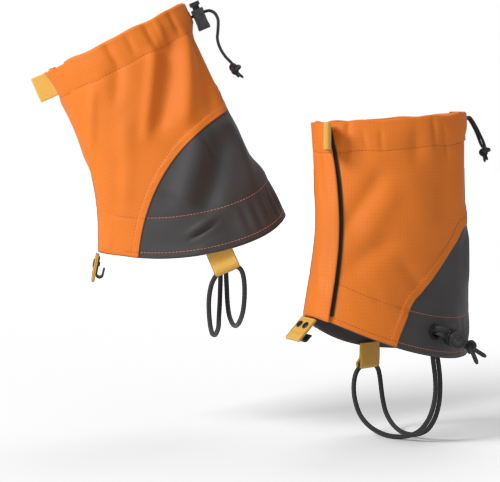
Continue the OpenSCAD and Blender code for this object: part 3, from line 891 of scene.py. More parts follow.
ORANGE = WovenCloth("orange_ripstop_cloth", "orange_ripstop", (0.84, 0.205, 0.014), ribs=0.20)
GREY = WovenCloth("grey_taffeta_cloth", "grey_taffeta", (0.060, 0.055, 0.056), roughness=0.46,
                  sheen=0.12, sheen_tint=(0.9, 0.9, 1.0), thread=0.0005, tone=0.18)
YELLOW = Webbing("yellow_webbing_weave", "yellow_webbing", (0.86, 0.47, 0.075))
CORD = BraidedCord("drawcord_braid", "black_cord", (0.012, 0.012, 0.013))
FOOT_CORD = BraidedCord("foot_cord_braid", "foot_cord", (0.012, 0.012, 0.012), pitch=0.003)
PLASTIC = Hard("black_moulded_plastic", "black_plastic", (0.010, 0.010, 0.011))
GLOSS = Hard("black_gloss_button", "black_plastic", (0.008, 0.008, 0.009), roughness=0.16,
             coat=0.4)
RIVET = Hard("black_lacquer", "rivet_black", (0.010, 0.010, 0.010), roughness=0.3, coat=0.3)
EYELET = Hard("black_eyelet_lacquer", "eyelet_metal", (0.03, 0.03, 0.032), roughness=0.3,
              metallic=0.6)
# The steel hook and the spring wire get a light painted highlight along their edges.
STEEL = Hard("lacquered_hook_steel", "hook_steel", (0.05, 0.05, 0.055), roughness=0.35,
             metallic=0.8, painted_highlight_colour=(0.4, 0.4, 0.4))
SPRING = Hard("spring_wire", "spring_steel", (0.5, 0.5, 0.5), roughness=0.3, metallic=1.0,
              painted_highlight_colour=(0.6, 0.6, 0.6))
HOOKS = Pile("hook_tape_pile", "hook_tape", (0.010, 0.010, 0.011))
LOOPS = Pile("loop_tape_pile", "loop_tape", (0.014, 0.014, 0.015))
ELASTIC = WovenCloth("woven_elastic", "elastic", (0.02, 0.02, 0.02), roughness=0.8)
TONE_THREAD = Thread("brown_orange_thread", "orange_ripstop", (0.40, 0.10, 0.02))
PINK_THREAD = Thread("salmon_thread", "orange_ripstop", (0.72, 0.26, 0.14))
YELLOW_THREAD = Thread("yellow_thread", "yellow_webbing", (0.66, 0.34, 0.05))


# ---- Mesh making ----


def make_mesh(name: str, points: Array, faces: list, uvs: Array | None = None,
              flip: bool = False) -> bpy.types.Object:
    """A mesh object with its place in its mesh.

    Args:
        name: The piece's name.
        points: World positions, in metres.
        faces: Vertex indices of each face.
        uvs: One UV for each vertex, or None.
        flip: Turn every face over, for a mirrored gaiter.

    Returns:
        The new object.
    """
    mesh = bpy.data.meshes.new(name)
    if flip:
        faces = [tuple(reversed(f)) for f in faces]
    mesh.from_pydata([tuple(p) for p in points], [], faces)
    if uvs is not None:
        layer = mesh.uv_layers.new(name="cloth")
        index = np.empty(len(mesh.loops), int)
        mesh.loops.foreach_get("vertex_index", index)
        layer.data.foreach_set("uv", uvs[index].astype(np.float32).ravel())
    mesh.polygons.foreach_set("use_smooth", [True] * len(mesh.polygons))
    mesh.update()
    made = bpy.data.objects.new(name, mesh)
    bpy.context.scene.collection.objects.link(made)
    return made


def shell_faces(rows: int, cols: int) -> list:
    """Faces of a closed sheet: an outer grid, an inner grid and the border between them."""
    outer = np.arange(rows * cols).reshape(rows, cols)
    inner = outer + rows * cols
    a, b, c, d = outer[:-1, :-1], outer[:-1, 1:], outer[1:, 1:], outer[1:, :-1]
    faces = np.stack([a, b, c, d], -1).reshape(-1, 4).tolist()
    a, b, c, d = inner[:-1, :-1], inner[1:, :-1], inner[1:, 1:], inner[:-1, 1:]
    faces += np.stack([a, b, c, d], -1).reshape(-1, 4).tolist()
    ring_out = np.concatenate([outer[0, :-1], outer[:-1, -1], outer[-1, :0:-1], outer[:0:-1, 0]])
    ring_in = ring_out + rows * cols
    faces += np.stack([ring_out, ring_in, np.roll(ring_in, -1), np.roll(ring_out, -1)],
                      -1).tolist()
    return faces


def tube_mesh(name: str, path: Array, radius: Callable[[Array], Array] | float,
              sides: int, closed: bool = False, relief: float = 0.0,
              pitch: float = 1.0) -> bpy.types.Object:
    """A round tube along a path, with its UV map along and round it.

    Args:
        name: The piece's name.
        path: The path's points, in metres.
        radius: The tube's radius, or a function of the share along the path.
        sides: Points round the tube.
        closed: True for a path that joins itself.
        relief: Height of the braid's strands as a share of the radius.
        pitch: Length of one turn of a strand, in metres.

    Returns:
        The tube, with rounded ends unless it is closed.
    """
    n = len(path)
    if closed:
        along = unit(np.roll(path, -1, 0) - np.roll(path, 1, 0))
    else:
        along = unit(np.gradient(path, axis=0))
    first = unit(np.cross(along[0], [0.3, 0.5, 0.8]))
    across = [first]
    for t in along[1:]:
        side = across[-1] - t * np.dot(across[-1], t)
        across.append(side / np.linalg.norm(side))
    across = np.array(across)
    angle = np.zeros(n)
    if closed:
        end = across[-1] - along[0] * np.dot(across[-1], along[0])
        end /= np.linalg.norm(end)
        slip = math.atan2(np.dot(np.cross(first, end), along[0]), np.dot(first, end))
        angle = -slip * np.arange(n) / n
    up = np.cross(along, across)
    run = np.concatenate([[0.0], np.cumsum(np.linalg.norm(np.diff(path, axis=0), axis=1))])
    share = run / run[-1]
    r = radius(share) if callable(radius) else np.full(n, radius)
    theta = np.linspace(0, math.tau, sides, endpoint=False)
    spin = theta[None, :] + angle[:, None]
    if relief:
        one = np.sin(math.tau * run[:, None] / pitch + STRANDS * theta[None, :])
        two = np.sin(math.tau * run[:, None] / pitch - STRANDS * theta[None, :])
        r = r[:, None] * (1 + relief * one * two)
    else:
        r = r[:, None] * np.ones_like(spin)
    rings = (path[:, None, :] + across[:, None, :] * (r * np.cos(spin))[..., None]
             + up[:, None, :] * (r * np.sin(spin))[..., None])
    points = rings.reshape(-1, 3)
    uv_u = np.repeat(run, sides)
    uv_v = np.tile(theta / math.tau, n)
    faces = []
    index = np.arange(n * sides).reshape(n, sides)
    rows = n if closed else n - 1
    for i in range(rows):
        j = (i + 1) % n
        a, b = index[i], np.roll(index[i], -1)
        c, d = np.roll(index[j], -1), index[j]
        faces += np.stack([a, b, c, d], -1).tolist()
    if not closed:
        caps = []
        for ring, way in ((0, -1), (n - 1, 1)):
            base = index[ring]
            for shrink, push in ((0.75, 0.35), (0.35, 0.55)):
                centre = path[ring] + along[ring] * way * push * r[ring].mean()
                cap = centre + (rings[ring] - path[ring]) * shrink
                start = len(points) + sum(len(c) for c in caps)
                caps.append(cap)
                new = np.arange(start, start + sides)
                quad = (np.roll(base, -1), base, new, np.roll(new, -1))
                if way > 0:
                    quad = (base, np.roll(base, -1), np.roll(new, -1), new)
                faces += np.stack(quad, -1).tolist()
                uv_u = np.concatenate([uv_u, np.full(sides, run[ring])])
                uv_v = np.concatenate([uv_v, theta / math.tau])
                base = new
            faces.append(base.tolist() if way > 0 else base[::-1].tolist())
        points = np.vstack([points] + caps)
    return make_mesh(name, points, faces, np.stack([uv_u, uv_v], -1))



# ---- What every sub-assembly shares ----


@dataclass
class Work:
    """One sub-assembly of one gaiter: its sleeve, its finishes and where its pieces go."""

    sleeve: Sleeve
    palette: Palette

    def named(self, piece: str) -> str:
        """A piece's name, or a CAD node's or body's, on this side."""
        return f"{self.sleeve.side.value}_{piece}"

    def world(self, points: Array) -> Array:
        """Points of the gaiter's frame in the world, in metres."""
        m = np.array(self.sleeve.attitude.matrix())
        return np.asarray(points, float) @ m[:3, :3].T + m[:3, 3]

    def settle(self, made: bpy.types.Object, finish: Finish, body: str,
               nodes: Sequence[str] = (), rides: bool = True) -> bpy.types.Object:
        """Dress a piece and fasten it to its body.

        Args:
            made: The piece.
            finish: Its finish.
            body: The body it rides on, without the side.
            nodes: The nodes that it stands for, without the side.
            rides: False if the piece bends between two bodies.

        Returns:
            The same piece.
        """
        if not made.data.materials:
            made.data.materials.append(self.palette.get(finish))
        if rides:
            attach(made, self.named(body))
        if nodes:
            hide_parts(*[self.named(n) for n in nodes])
        LOG.info("%s: %d faces", made.name, len(made.data.polygons))
        return made

    def grid(self, name: str, mid: Array, uvs: Array, thick: float) -> bpy.types.Object:
        """A closed sheet of cloth with its middle on a grid of points.

        Args:
            name: The piece's name without the side.
            mid: Middle points, rows upwards and columns round, in the gaiter's frame.
            uvs: UV of each point, in metres.
            thick: The cloth's thickness, in millimetres.

        Returns:
            The sheet.
        """
        rows, cols = mid.shape[:2]
        normal = unit(np.cross(np.gradient(mid, axis=1), np.gradient(mid, axis=0)))
        both = np.concatenate([(mid + normal * thick / 2).reshape(-1, 3),
                               (mid - normal * thick / 2).reshape(-1, 3)])
        return make_mesh(self.named(name), self.world(both), shell_faces(rows, cols),
                         np.tile(uvs.reshape(-1, 2), (2, 1)), self.sleeve.attitude.mirrored)

    def declare(self, made: bpy.types.Object, flat_points: Array, uvs: Array,
                rests_on: Sequence[str], held: str = "draped") -> None:
        """Work out a sheet's flat width and height from its shape before any folds, and keep
        neither.
        """
        a = np.linalg.norm(np.cross(flat_points[1:, 1:] - flat_points[:-1, :-1],
                                    flat_points[1:, :-1] - flat_points[:-1, 1:]), axis=-1)
        area = float(a.sum()) / 2 * MM * MM
        wide = float(np.ptp(uvs[..., 0]))
        high = float(np.ptp(uvs[..., 1]))
        if wide * high < area:
            high = area / wide * 1.001
        [self.named(r) for r in rests_on]

    def stitches(self, name: str, line: Array, finish: Finish, body: str,
                 pitch: float = 3.3, length: float = 2.3, thick: float = 0.55) -> None:
        """A row of stitches along a line of points on the cloth.

        Args:
            name: The piece's name without the side.
            line: Points of the line in the gaiter's frame, on the cloth's surface.
            finish: The thread.
            body: The body the row rides on.
            pitch: Distance from stitch to stitch.
            length: Length of a stitch.
            thick: Width of the thread.
        """
        gaps = np.linalg.norm(np.diff(line, axis=0), axis=1)
        run = np.concatenate([[0.0], np.cumsum(gaps)])
        count = max(1, int(run[-1] // pitch))
        starts = (run[-1] - count * pitch) / 2 + pitch * np.arange(count)

        def spot(where: Array) -> Array:
            return np.stack([np.interp(where, run, line[:, i]) for i in range(3)], -1)

        sides = 6
        theta = np.linspace(0, math.tau, sides, endpoint=False)
        stations = ((0.0, 0.45), (0.12, 0.9), (0.5, 1.05), (0.88, 0.9), (1.0, 0.45))
        points, faces = [], []
        head, tail = spot(starts), spot(starts + length)
        along = unit(tail - head)
        side = unit(np.cross(along, [0.2, 0.3, 0.9]))
        up = np.cross(along, side)
        rings = []
        for share, size in stations:
            centre = head + (tail - head) * share
            arm = (side[:, None] * np.cos(theta)[:, None] + up[:, None] * np.sin(theta)[:, None])
            rings.append(centre[:, None] + arm * thick / 2 * size)
        rings = np.stack(rings, 1)
        points = rings.reshape(-1, 3)
        block = len(stations) * sides
        for i in range(count):
            base = i * block
            for r in range(len(stations) - 1):
                a = base + r * sides
                for k in range(sides):
                    n = (k + 1) % sides
                    faces.append((a + k, a + n, a + sides + n, a + sides + k))
            last = base + (len(stations) - 1) * sides
            faces.append(tuple(base + k for k in reversed(range(sides))))
            faces.append(tuple(last + k for k in range(sides)))
        made = make_mesh(self.named(name), self.world(points), faces,
                         flip=self.sleeve.attitude.mirrored)
        self.settle(made, finish, body)


# ---- The cloth ----


@dataclass
class ClothBody(Work):
    """The sewn sleeve: two orange panels, the grey rear panel, collar fold and hem facing."""

    step: float = 2.1
    thick: float = 1.1
    facing_thick: float = 0.8
    topstitch: float = 7.6

    def build(self) -> None:
        """Make every cloth piece and its stitching."""
        self.inner_panel_and_flap()
        self.outer_panel()
        self.rear_panel()
        self.collar_fold()
        self.hem_facing()
        self.tapes()
        self.sew()

    def spread(self, t: Array, low: Callable[[Array], Array]) -> Array:
        """Angles from the given range, spaced evenly along a lower edge."""
        edge = np.stack([self.sleeve.arc(t, 70.0), low(t)], -1)
        run = np.concatenate([[0], np.cumsum(np.linalg.norm(np.diff(edge, axis=0), axis=1))])
        count = int(run[-1] / self.step) + 2
        return np.interp(np.linspace(0, run[-1], count), run, t)

    def low(self, t: Array) -> Array:
        """Lower edge of the orange cloth."""
        return np.maximum(self.sleeve.hem_z(t), self.sleeve.seam_z(t))

    def lap_rise(self, t: Array, z: Array) -> Array:
        """Relief of the turned and stitched orange edge over the grey cloth."""
        out = np.zeros(t.shape)
        for outer, mask in ((True, t > 0), (False, t < 0)):
            if mask.any():
                far = self.sleeve.seam_distance(t[mask], z[mask], outer)
                rise = 0.8 * (1 - ease(far, 5.5, 9.5))
                rise -= 0.35 * np.exp(-(((far - self.topstitch) / 1.3) ** 2))
                ripple = np.sin(z[mask] * 0.9 + t[mask] * 0.35)
                rise += 0.14 * ripple * np.exp(-(((far - 4.0) / 3.0) ** 2))
                out[mask] += rise
        return out

    def uvs(self, t: Array, z: Array) -> Array:
        """UV of points on the cloth, in metres."""
        return np.stack([self.sleeve.arc(t, z), np.broadcast_to(z, t.shape)], -1) * MM

    def inner_panel_and_flap(self) -> None:
        """The inner orange panel runs on round the front as the opening flap."""
        sleeve = self.sleeve
        rear = self.spread(np.linspace(-180.0, -38.0, 900), self.low)
        behind = (rear + 180.0) / 142.0
        ahead = np.linspace(0, 1, 42)[1:]
        rows = 104
        v = np.linspace(0, 1, rows)[:, None]
        guess = 36 + 170 * v
        fold = sleeve.fold_t(guess)
        t = np.hstack([-180 + behind[None, :] * (fold + 180),
                       fold + ahead[None, :] * (sleeve.edge_t(guess) - fold)])
        low = self.low(t)
        z = low + (sleeve.top_z(t) - 0.7 - low) * v
        for _ in range(3):
            fold, edge = sleeve.fold_t(z), sleeve.edge_t(z)
            n = len(behind)
            t[:, n:] = fold[:, n:] + ahead[None, :] * (edge - fold)[:, n:]
            low = self.low(t)
            z = low + (sleeve.top_z(t) - 0.7 - low) * v
        rise = 0.6 + sleeve.flap_rise(t, z)
        rise = rise + self.flap_hem(t, z)
        uvs = self.uvs(t, z)
        made = self.grid("inner_panel_and_flap",
                         sleeve.cloth(t, z, rise + self.lap_rise(t, z)), uvs, self.thick)
        self.settle(made, ORANGE, "shell", ("medial_panel", "front_flap"), rides=False)
        start, end = self.fold_span()
        self.named("shell")
        self.named("flap")
        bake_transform(made)
        self.declare(made, sleeve.section(t, z, rise), uvs, ("hem_facing", "drawcord"))

    def flap_hem(self, t: Array, z: Array) -> Array:
        """The turned hem along the flap's free edge."""
        sleeve = self.sleeve
        near = (sleeve.edge_t(z) - t) * MM_PER_DEGREE
        inside = sleeve.flap_share(t, z) > 0.3
        relief = 0.35 * (1 - ease(near, 7.0, 9.0)) - 0.3 * np.exp(-(((near - 8.2) / 1.2) ** 2))
        curl = 0.5 * np.sin(z * 0.09 + 0.8) * (1 - ease(near, 0.0, 16.0))
        return np.where(inside, relief + curl * (1 - ease(z, 175, 190)), 0.0)

    def fold_span(self) -> tuple[list[float], list[float]]:
        """The two points that the flap's bend runs between."""
        s = self.sleeve
        low, high = s.section(s.fold_angle, 36.0, 2.7), s.section(s.fold_angle, 222.0, 2.7)
        axis = unit(high - low)
        z = np.linspace(40, 220, 10)
        across = unit((s.section(s.fold_angle + 5, z) - s.section(s.fold_angle - 5, z)).mean(0))
        across = unit(across - axis * np.dot(across, axis))
        middle = (low + high) / 2
        ends = self.world(np.stack([middle - across * 3.5, middle + across * 3.5]))
        return ends[0].tolist(), ends[1].tolist()

    def outer_panel(self) -> None:
        """The outer orange panel, from under the flap back to the centre-back seam."""
        sleeve = self.sleeve
        rows = 104
        v = np.linspace(0, 1, rows)[:, None]
        columns = self.spread(np.linspace(-6.0, 180.0, 900), self.low)
        share = (columns + 6.0) / 186.0
        z = 36 + 185 * v * np.ones_like(share)
        for _ in range(4):
            front = sleeve.edge_t(z) - 28
            t = front + share * (180 - front)
            low = self.low(t)
            z = low + (sleeve.top_z(t) - 0.7 - low) * v
        under = np.clip((sleeve.edge_t(z) - t) / 8, 0, 1)
        uvs = self.uvs(t, z)
        made = self.grid("outer_panel",
                         sleeve.cloth(t, z, 0.6 - 0.2 * under + self.lap_rise(t, z)), uvs,
                         self.thick)
        self.settle(made, ORANGE, "shell", ("lateral_panel",))
        self.declare(made, sleeve.section(t, z, 0.6), uvs, ("hem_facing", "drawcord"))

    def lap_line(self, t: Array) -> Array:
        """Upper edge of the grey cloth, hidden under the orange."""
        outer = self.sleeve.beside_seam(8.5, True)
        inner = self.sleeve.beside_seam(8.5, False)
        angle = wrap(t)
        high = np.interp(angle, outer[:, 0], outer[:, 1])
        back = np.interp(angle, inner[::-1, 0], inner[::-1, 1])
        return np.maximum(np.where(angle > 0, high, back), self.sleeve.hem_z(t) + 2.0)

    def rear_panel(self) -> None:
        """The grey panel round the heel, with its hole for the foot cord."""
        sleeve = self.sleeve
        t = self.spread(np.linspace(62.0, 312.0, 1200), self.lap_line)
        v = np.linspace(0, 1, 70)[:, None]
        low, high = sleeve.hem_z(t), self.lap_line(t)
        z = low + (high - low) * v
        t = np.broadcast_to(t, z.shape)
        angle = wrap(t)
        beyond = z - sleeve.seam_z(angle)
        tucked = 0.55 * ease(beyond, -0.5, 2.5)
        rise = 0.6 - np.where(z > sleeve.seam_z(angle), tucked, 0.0)
        uvs = self.uvs(t, z)
        made = self.grid("rear_panel_cloth", sleeve.cloth(t, z, rise), uvs, 0.9)
        self.pierce(made)
        self.settle(made, GREY, "shell", ("rear_panel",))
        self.declare(made, sleeve.section(t, z, 0.6), uvs, ("hem_facing",))

    def pierce(self, made: bpy.types.Object) -> None:
        """Cut the foot cord's hole through a sheet."""
        sleeve = self.sleeve
        spot, out = sleeve.section(*sleeve.eyelet), sleeve.outward(*sleeve.eyelet)
        bench = Bench("hole_cutter")
        bench.drum(5.4, 16.0, sides=40)
        across = np.cross([0, 0, 1], out)
        frame = np.eye(4)
        frame[:3, 0], frame[:3, 1], frame[:3, 2], frame[:3, 3] = across, [0, 0, 1], out, spot
        tool = bench.done(sleeve.attitude.matrix() @ Matrix(frame.tolist()))
        cut_away(made, tool)

    def collar_fold(self) -> None:
        """The cloth turned over the drawcord and sewn down inside the collar."""
        sleeve = self.sleeve
        t = np.linspace(float(sleeve.edge_t(222.0)) - 28.0, 321.0, 230)
        profile = smooth_route([(-2.6, 0.35), (-1.2, 0.3), (-0.2, -0.1), (0.25, -1.1),
                                (0.0, -2.3), (-1.2, -3.2), (-4.0, -3.9), (-9.0, -4.3),
                                (-14.0, -4.3), (-18.5, -3.8), (-23.0, -2.2), (-27.0, -0.9)],
                               0.9)[::-1]
        drop, rise = profile[:, :1], profile[:, 1:]
        z = sleeve.top_z(t)[None, :] + drop
        t = np.broadcast_to(t, z.shape)
        mid = sleeve.section(t, z, sleeve.drape(wrap(t), np.minimum(z, sleeve.top_z(t) - 1))
                             + rise)
        run = np.concatenate([[0], np.cumsum(np.linalg.norm(np.diff(profile, axis=0), axis=1))])
        uvs = np.stack([sleeve.arc(t, z), run[:, None] + 0 * z], -1) * MM
        made = self.grid("collar_casing_fold", mid[::-1], uvs[::-1], 0.9)
        self.settle(made, ORANGE, "shell", ("collar_casing",))
        self.declare(made, sleeve.section(t, z, rise), uvs, ("drawcord",), held="folded")

    def hem_facing(self) -> None:
        """The doubled cloth inside the hem, turned under its lower edge."""
        sleeve = self.sleeve
        t = np.linspace(24.0, 321.0, 240)
        profile = smooth_route([(2.2, 0.35), (0.8, 0.3), (-0.2, -0.1), (-0.4, -0.7),
                                (0.4, -1.2), (4.0, -1.8), (12.0, -2.2), (22.0, -2.2),
                                (32.0, -1.6), (38.0, -0.9)], 1.1)
        z = sleeve.hem_z(t)[None, :] + profile[:, :1]
        t = np.broadcast_to(t, z.shape)
        rise = profile[:, 1:] + 0 * z
        uvs = self.uvs(t, z)
        made = self.grid("hem_facing_cloth", sleeve.cloth(t, z, rise)[::-1], uvs[::-1],
                         self.facing_thick)
        self.pierce(made)
        self.settle(made, GREY, "shell", ("hem_facing",))
        self.declare(made, sleeve.section(t, z, rise), uvs, ("rear_panel",), held="folded")

    def tapes(self) -> None:
        """Hook tape under the flap and loop tape on the outer panel."""
        sleeve = self.sleeve
        z = np.linspace(47.0, 216.0, 104)[:, None] + np.zeros((1, 12))
        share = np.linspace(0, 1, 12)[None, :]
        for name, finish, body, past, rise, nodes in (
            ("loop_tape_pile", LOOPS, "shell", 2.9, 1.75, ("loop_tape",)),
            ("hook_tape_pile", HOOKS, "flap", -1.2, 3.5, ("hook_tape",)),
        ):
            edge = sleeve.edge_t(z)
            t = edge - 13.0 + share * (13.0 + past)
            ragged = 0.12 * np.sin(z * 2.3 + t * 5.1) + 0.1 * np.sin(z * 4.7 - t * 3.3)
            mid = sleeve.cloth(t, z, rise + ragged)
            uvs = self.uvs(t, z)
            made = self.grid(name, mid, uvs, 0.8 if body == "flap" else 1.0)
            self.settle(made, finish, body, nodes)
            self.declare(made, sleeve.section(t, z, rise), uvs, (nodes[0],), held="laid")

    def sew(self) -> None:
        """All the rows of stitches on the sleeve."""
        sleeve = self.sleeve
        surface = 0.6 + self.thick / 2 + 0.05
        for outer, label in ((True, "outer"), (False, "inner")):
            line = sleeve.beside_seam(self.topstitch, outer)
            rise = surface + self.lap_rise(line[:, 0], line[:, 1])
            self.stitches(f"{label}_seam_topstitch", sleeve.cloth(line[:, 0], line[:, 1], rise),
                          TONE_THREAD, "shell")
        front = float(sleeve.edge_t(193.0))
        t = np.linspace(front + 1.5, 322.0, 400)
        z = sleeve.top_z(t) - sleeve.casing_h
        self.stitches("collar_stitch", sleeve.cloth(t, z, surface), TONE_THREAD, "shell")
        t = np.linspace(float(sleeve.fold_t(193.0)) + 3, front - 0.8, 120)
        z = sleeve.top_z(t) - sleeve.casing_h
        rise = surface + sleeve.flap_rise(t, z) + self.flap_hem(t, z)
        self.stitches("flap_top_stitch", sleeve.cloth(t, z, rise), TONE_THREAD, "flap")
        self.hem_rows(surface)

    def hem_rows(self, surface: float) -> None:
        """Two rows of stitches that hold the hem's facing."""
        sleeve = self.sleeve
        t = np.linspace(float(sleeve.edge_t(50.0)) + 2, 320.0, 900)
        for label, up in (("hem_edge", 5.0), ("facing", sleeve.facing_h)):
            z = sleeve.hem_z(t) + up
            grey = z < sleeve.seam_z(wrap(t))
            rise = np.where(grey, 0.6 + 0.45 + 0.05,
                            surface + self.lap_rise(wrap(t), z))
            line = sleeve.cloth(t, z, rise)
            cuts = np.flatnonzero(np.diff(grey.astype(int))) + 1
            parts = np.split(np.arange(len(t)), cuts)
            for n, part in enumerate(p for p in parts if len(p) > 8):
                thread = PINK_THREAD if grey[part[0]] else TONE_THREAD
                self.stitches(f"{label}_stitch_{n + 1}", line[part], thread, "shell")


def cut_away(made: bpy.types.Object, tool: bpy.types.Object) -> None:
    """Cut a tool's shape out of a piece and remove the tool."""
    cut = made.modifiers.new("cut", "BOOLEAN")
    cut.operation = "DIFFERENCE"
    cut.solver = "EXACT"
    cut.object = tool
    bpy.ops.object.select_all(action="DESELECT")
    made.select_set(True)
    bpy.context.view_layer.objects.active = made
    bpy.ops.object.modifier_apply(modifier="cut")
    bpy.data.objects.remove(tool)


# ---- Hard pieces, worked by hand operations ----


class Bench:
    """Works one hard piece at a time, in millimetres about its own origin."""

    def __init__(self, name: str) -> None:
        """Start a piece with this name."""
        self.name = name
        self.made: bpy.types.Object | None = None

    def _begin(self) -> None:
        """Leave nothing selected."""
        if bpy.context.mode != "OBJECT":
            bpy.ops.object.mode_set(mode="OBJECT")
        bpy.ops.object.select_all(action="DESELECT")

    def _take(self) -> None:
        """Take the new primitive as this piece."""
        self.made = bpy.context.active_object
        self.made.name = self.name
        self.made.data.name = self.name

    def block(self, size: Sequence[float], centre: Sequence[float] = (0, 0, 0)) -> "Bench":
        """Start from a rectangular block."""
        self._begin()
        bpy.ops.mesh.primitive_cube_add(size=1, location=(0, 0, 0))
        self._take()
        self.made.data.transform(Matrix.Translation(centre)
                                 @ Matrix.Diagonal((*size, 1)))
        return self

    def drum(self, radius: float, depth: float, centre: Sequence[float] = (0, 0, 0),
             sides: int = 64) -> "Bench":
        """Start from a cylinder along z."""
        self._begin()
        bpy.ops.mesh.primitive_cylinder_add(vertices=sides, radius=radius, depth=depth,
                                            location=(0, 0, 0))
        self._take()
        self.made.data.transform(Matrix.Translation(centre))
        return self

    def pick(self, test: Callable[[Vector, Vector], bool]) -> "Bench":
        """Select the faces whose centre and normal pass a test, and enter edit mode."""
        if bpy.context.mode != "OBJECT":
            bpy.ops.object.mode_set(mode="OBJECT")
        mesh = self.made.data
        mesh.update()
        for v in mesh.vertices:
            v.select = False
        for e in mesh.edges:
            e.select = False
        for f in mesh.polygons:
            f.select = bool(test(f.center, f.normal))
        bpy.ops.object.mode_set(mode="EDIT")
        bpy.ops.mesh.select_mode(type="FACE")
        return self

    def inset(self, width: float, depth: float = 0.0) -> "Bench":
        """Inset the selected faces as one, and push them in or out."""
        bpy.ops.mesh.inset(thickness=width, depth=depth, use_even_offset=True)
        return self

    def extrude(self, by: Sequence[float]) -> "Bench":
        """Extrude the selected faces."""
        bpy.ops.mesh.extrude_region_move(TRANSFORM_OT_translate={"value": tuple(by)})
        return self

    def split(self, cuts: int) -> "Bench":
        """Subdivide the selected faces."""
        bpy.ops.mesh.subdivide(number_cuts=cuts)
        return self

    def slice(self, point: Sequence[float], normal: Sequence[float]) -> "Bench":
        """Cut a loop across the whole piece with a plane."""
        if bpy.context.mode != "EDIT_MESH":
            bpy.ops.object.mode_set(mode="EDIT")
        bpy.ops.mesh.select_all(action="SELECT")
        bpy.ops.mesh.bisect(plane_co=tuple(point), plane_no=tuple(normal))
        return self

    def round(self, width: float, segments: int = 3, angle: float = 35.0) -> "Bench":
        """Round the piece's sharp edges with a bevel."""
        self._modify("round", "BEVEL", width=width, segments=segments,
                     limit_method="ANGLE", angle_limit=math.radians(angle),
                     use_clamp_overlap=True)
        return self

    def _modify(self, name: str, kind: str, **settings: object) -> None:
        """Add a modifier and apply it."""
        if bpy.context.mode != "OBJECT":
            bpy.ops.object.mode_set(mode="OBJECT")
        modifier = self.made.modifiers.new(name, kind)
        for key, value in settings.items():
            setattr(modifier, key, value)
        bpy.ops.object.select_all(action="DESELECT")
        self.made.select_set(True)
        bpy.context.view_layer.objects.active = self.made
        bpy.ops.object.modifier_apply(modifier=name)

    def bore(self, radius: float, depth: float, frame: Matrix, sides: int = 32) -> "Bench":
        """Cut a round hole along the frame's z."""
        tool = Bench("bore_tool").drum(radius, depth, sides=sides).done(frame)
        cut_away(self.made, tool)
        return self

    def done(self, frame: Matrix) -> bpy.types.Object:
        """Put the piece in its place, with its place in its mesh."""
        if bpy.context.mode != "OBJECT":
            bpy.ops.object.mode_set(mode="OBJECT")
        made = self.made
        made.data.transform(frame @ made.matrix_world)
        made.matrix_world = Matrix.Identity(4)
        turn_out(made)
        made.select_set(True)
        bpy.ops.object.shade_smooth_by_angle(angle=math.radians(40))
        made.select_set(False)
        return made


def frame_of(origin: Array, x: Array, y: Array, z: Array) -> Matrix:
    """A matrix that puts x, y and z along three directions at an origin."""
    m = np.eye(4)
    m[:3, 0], m[:3, 1], m[:3, 2], m[:3, 3] = x, y, z, origin
    return Matrix(m.tolist())


# ---- Cords, their locks and their knots ----


def trefoil(size: float, thick: float) -> Array:
    """Centreline of a pulled-up overhand knot.

    Args:
        size: Its overall width.
        thick: The cord's diameter.

    Returns:
        Points of a closed line about the origin.
    """
    t = np.linspace(0, math.tau, 91)[:-1]
    knot = np.stack([np.sin(t) + 2 * np.sin(2 * t), np.cos(t) - 2 * np.cos(2 * t),
                     -1.25 * np.sin(3 * t)], -1)
    return knot * (size - thick) / 2 / 3.0


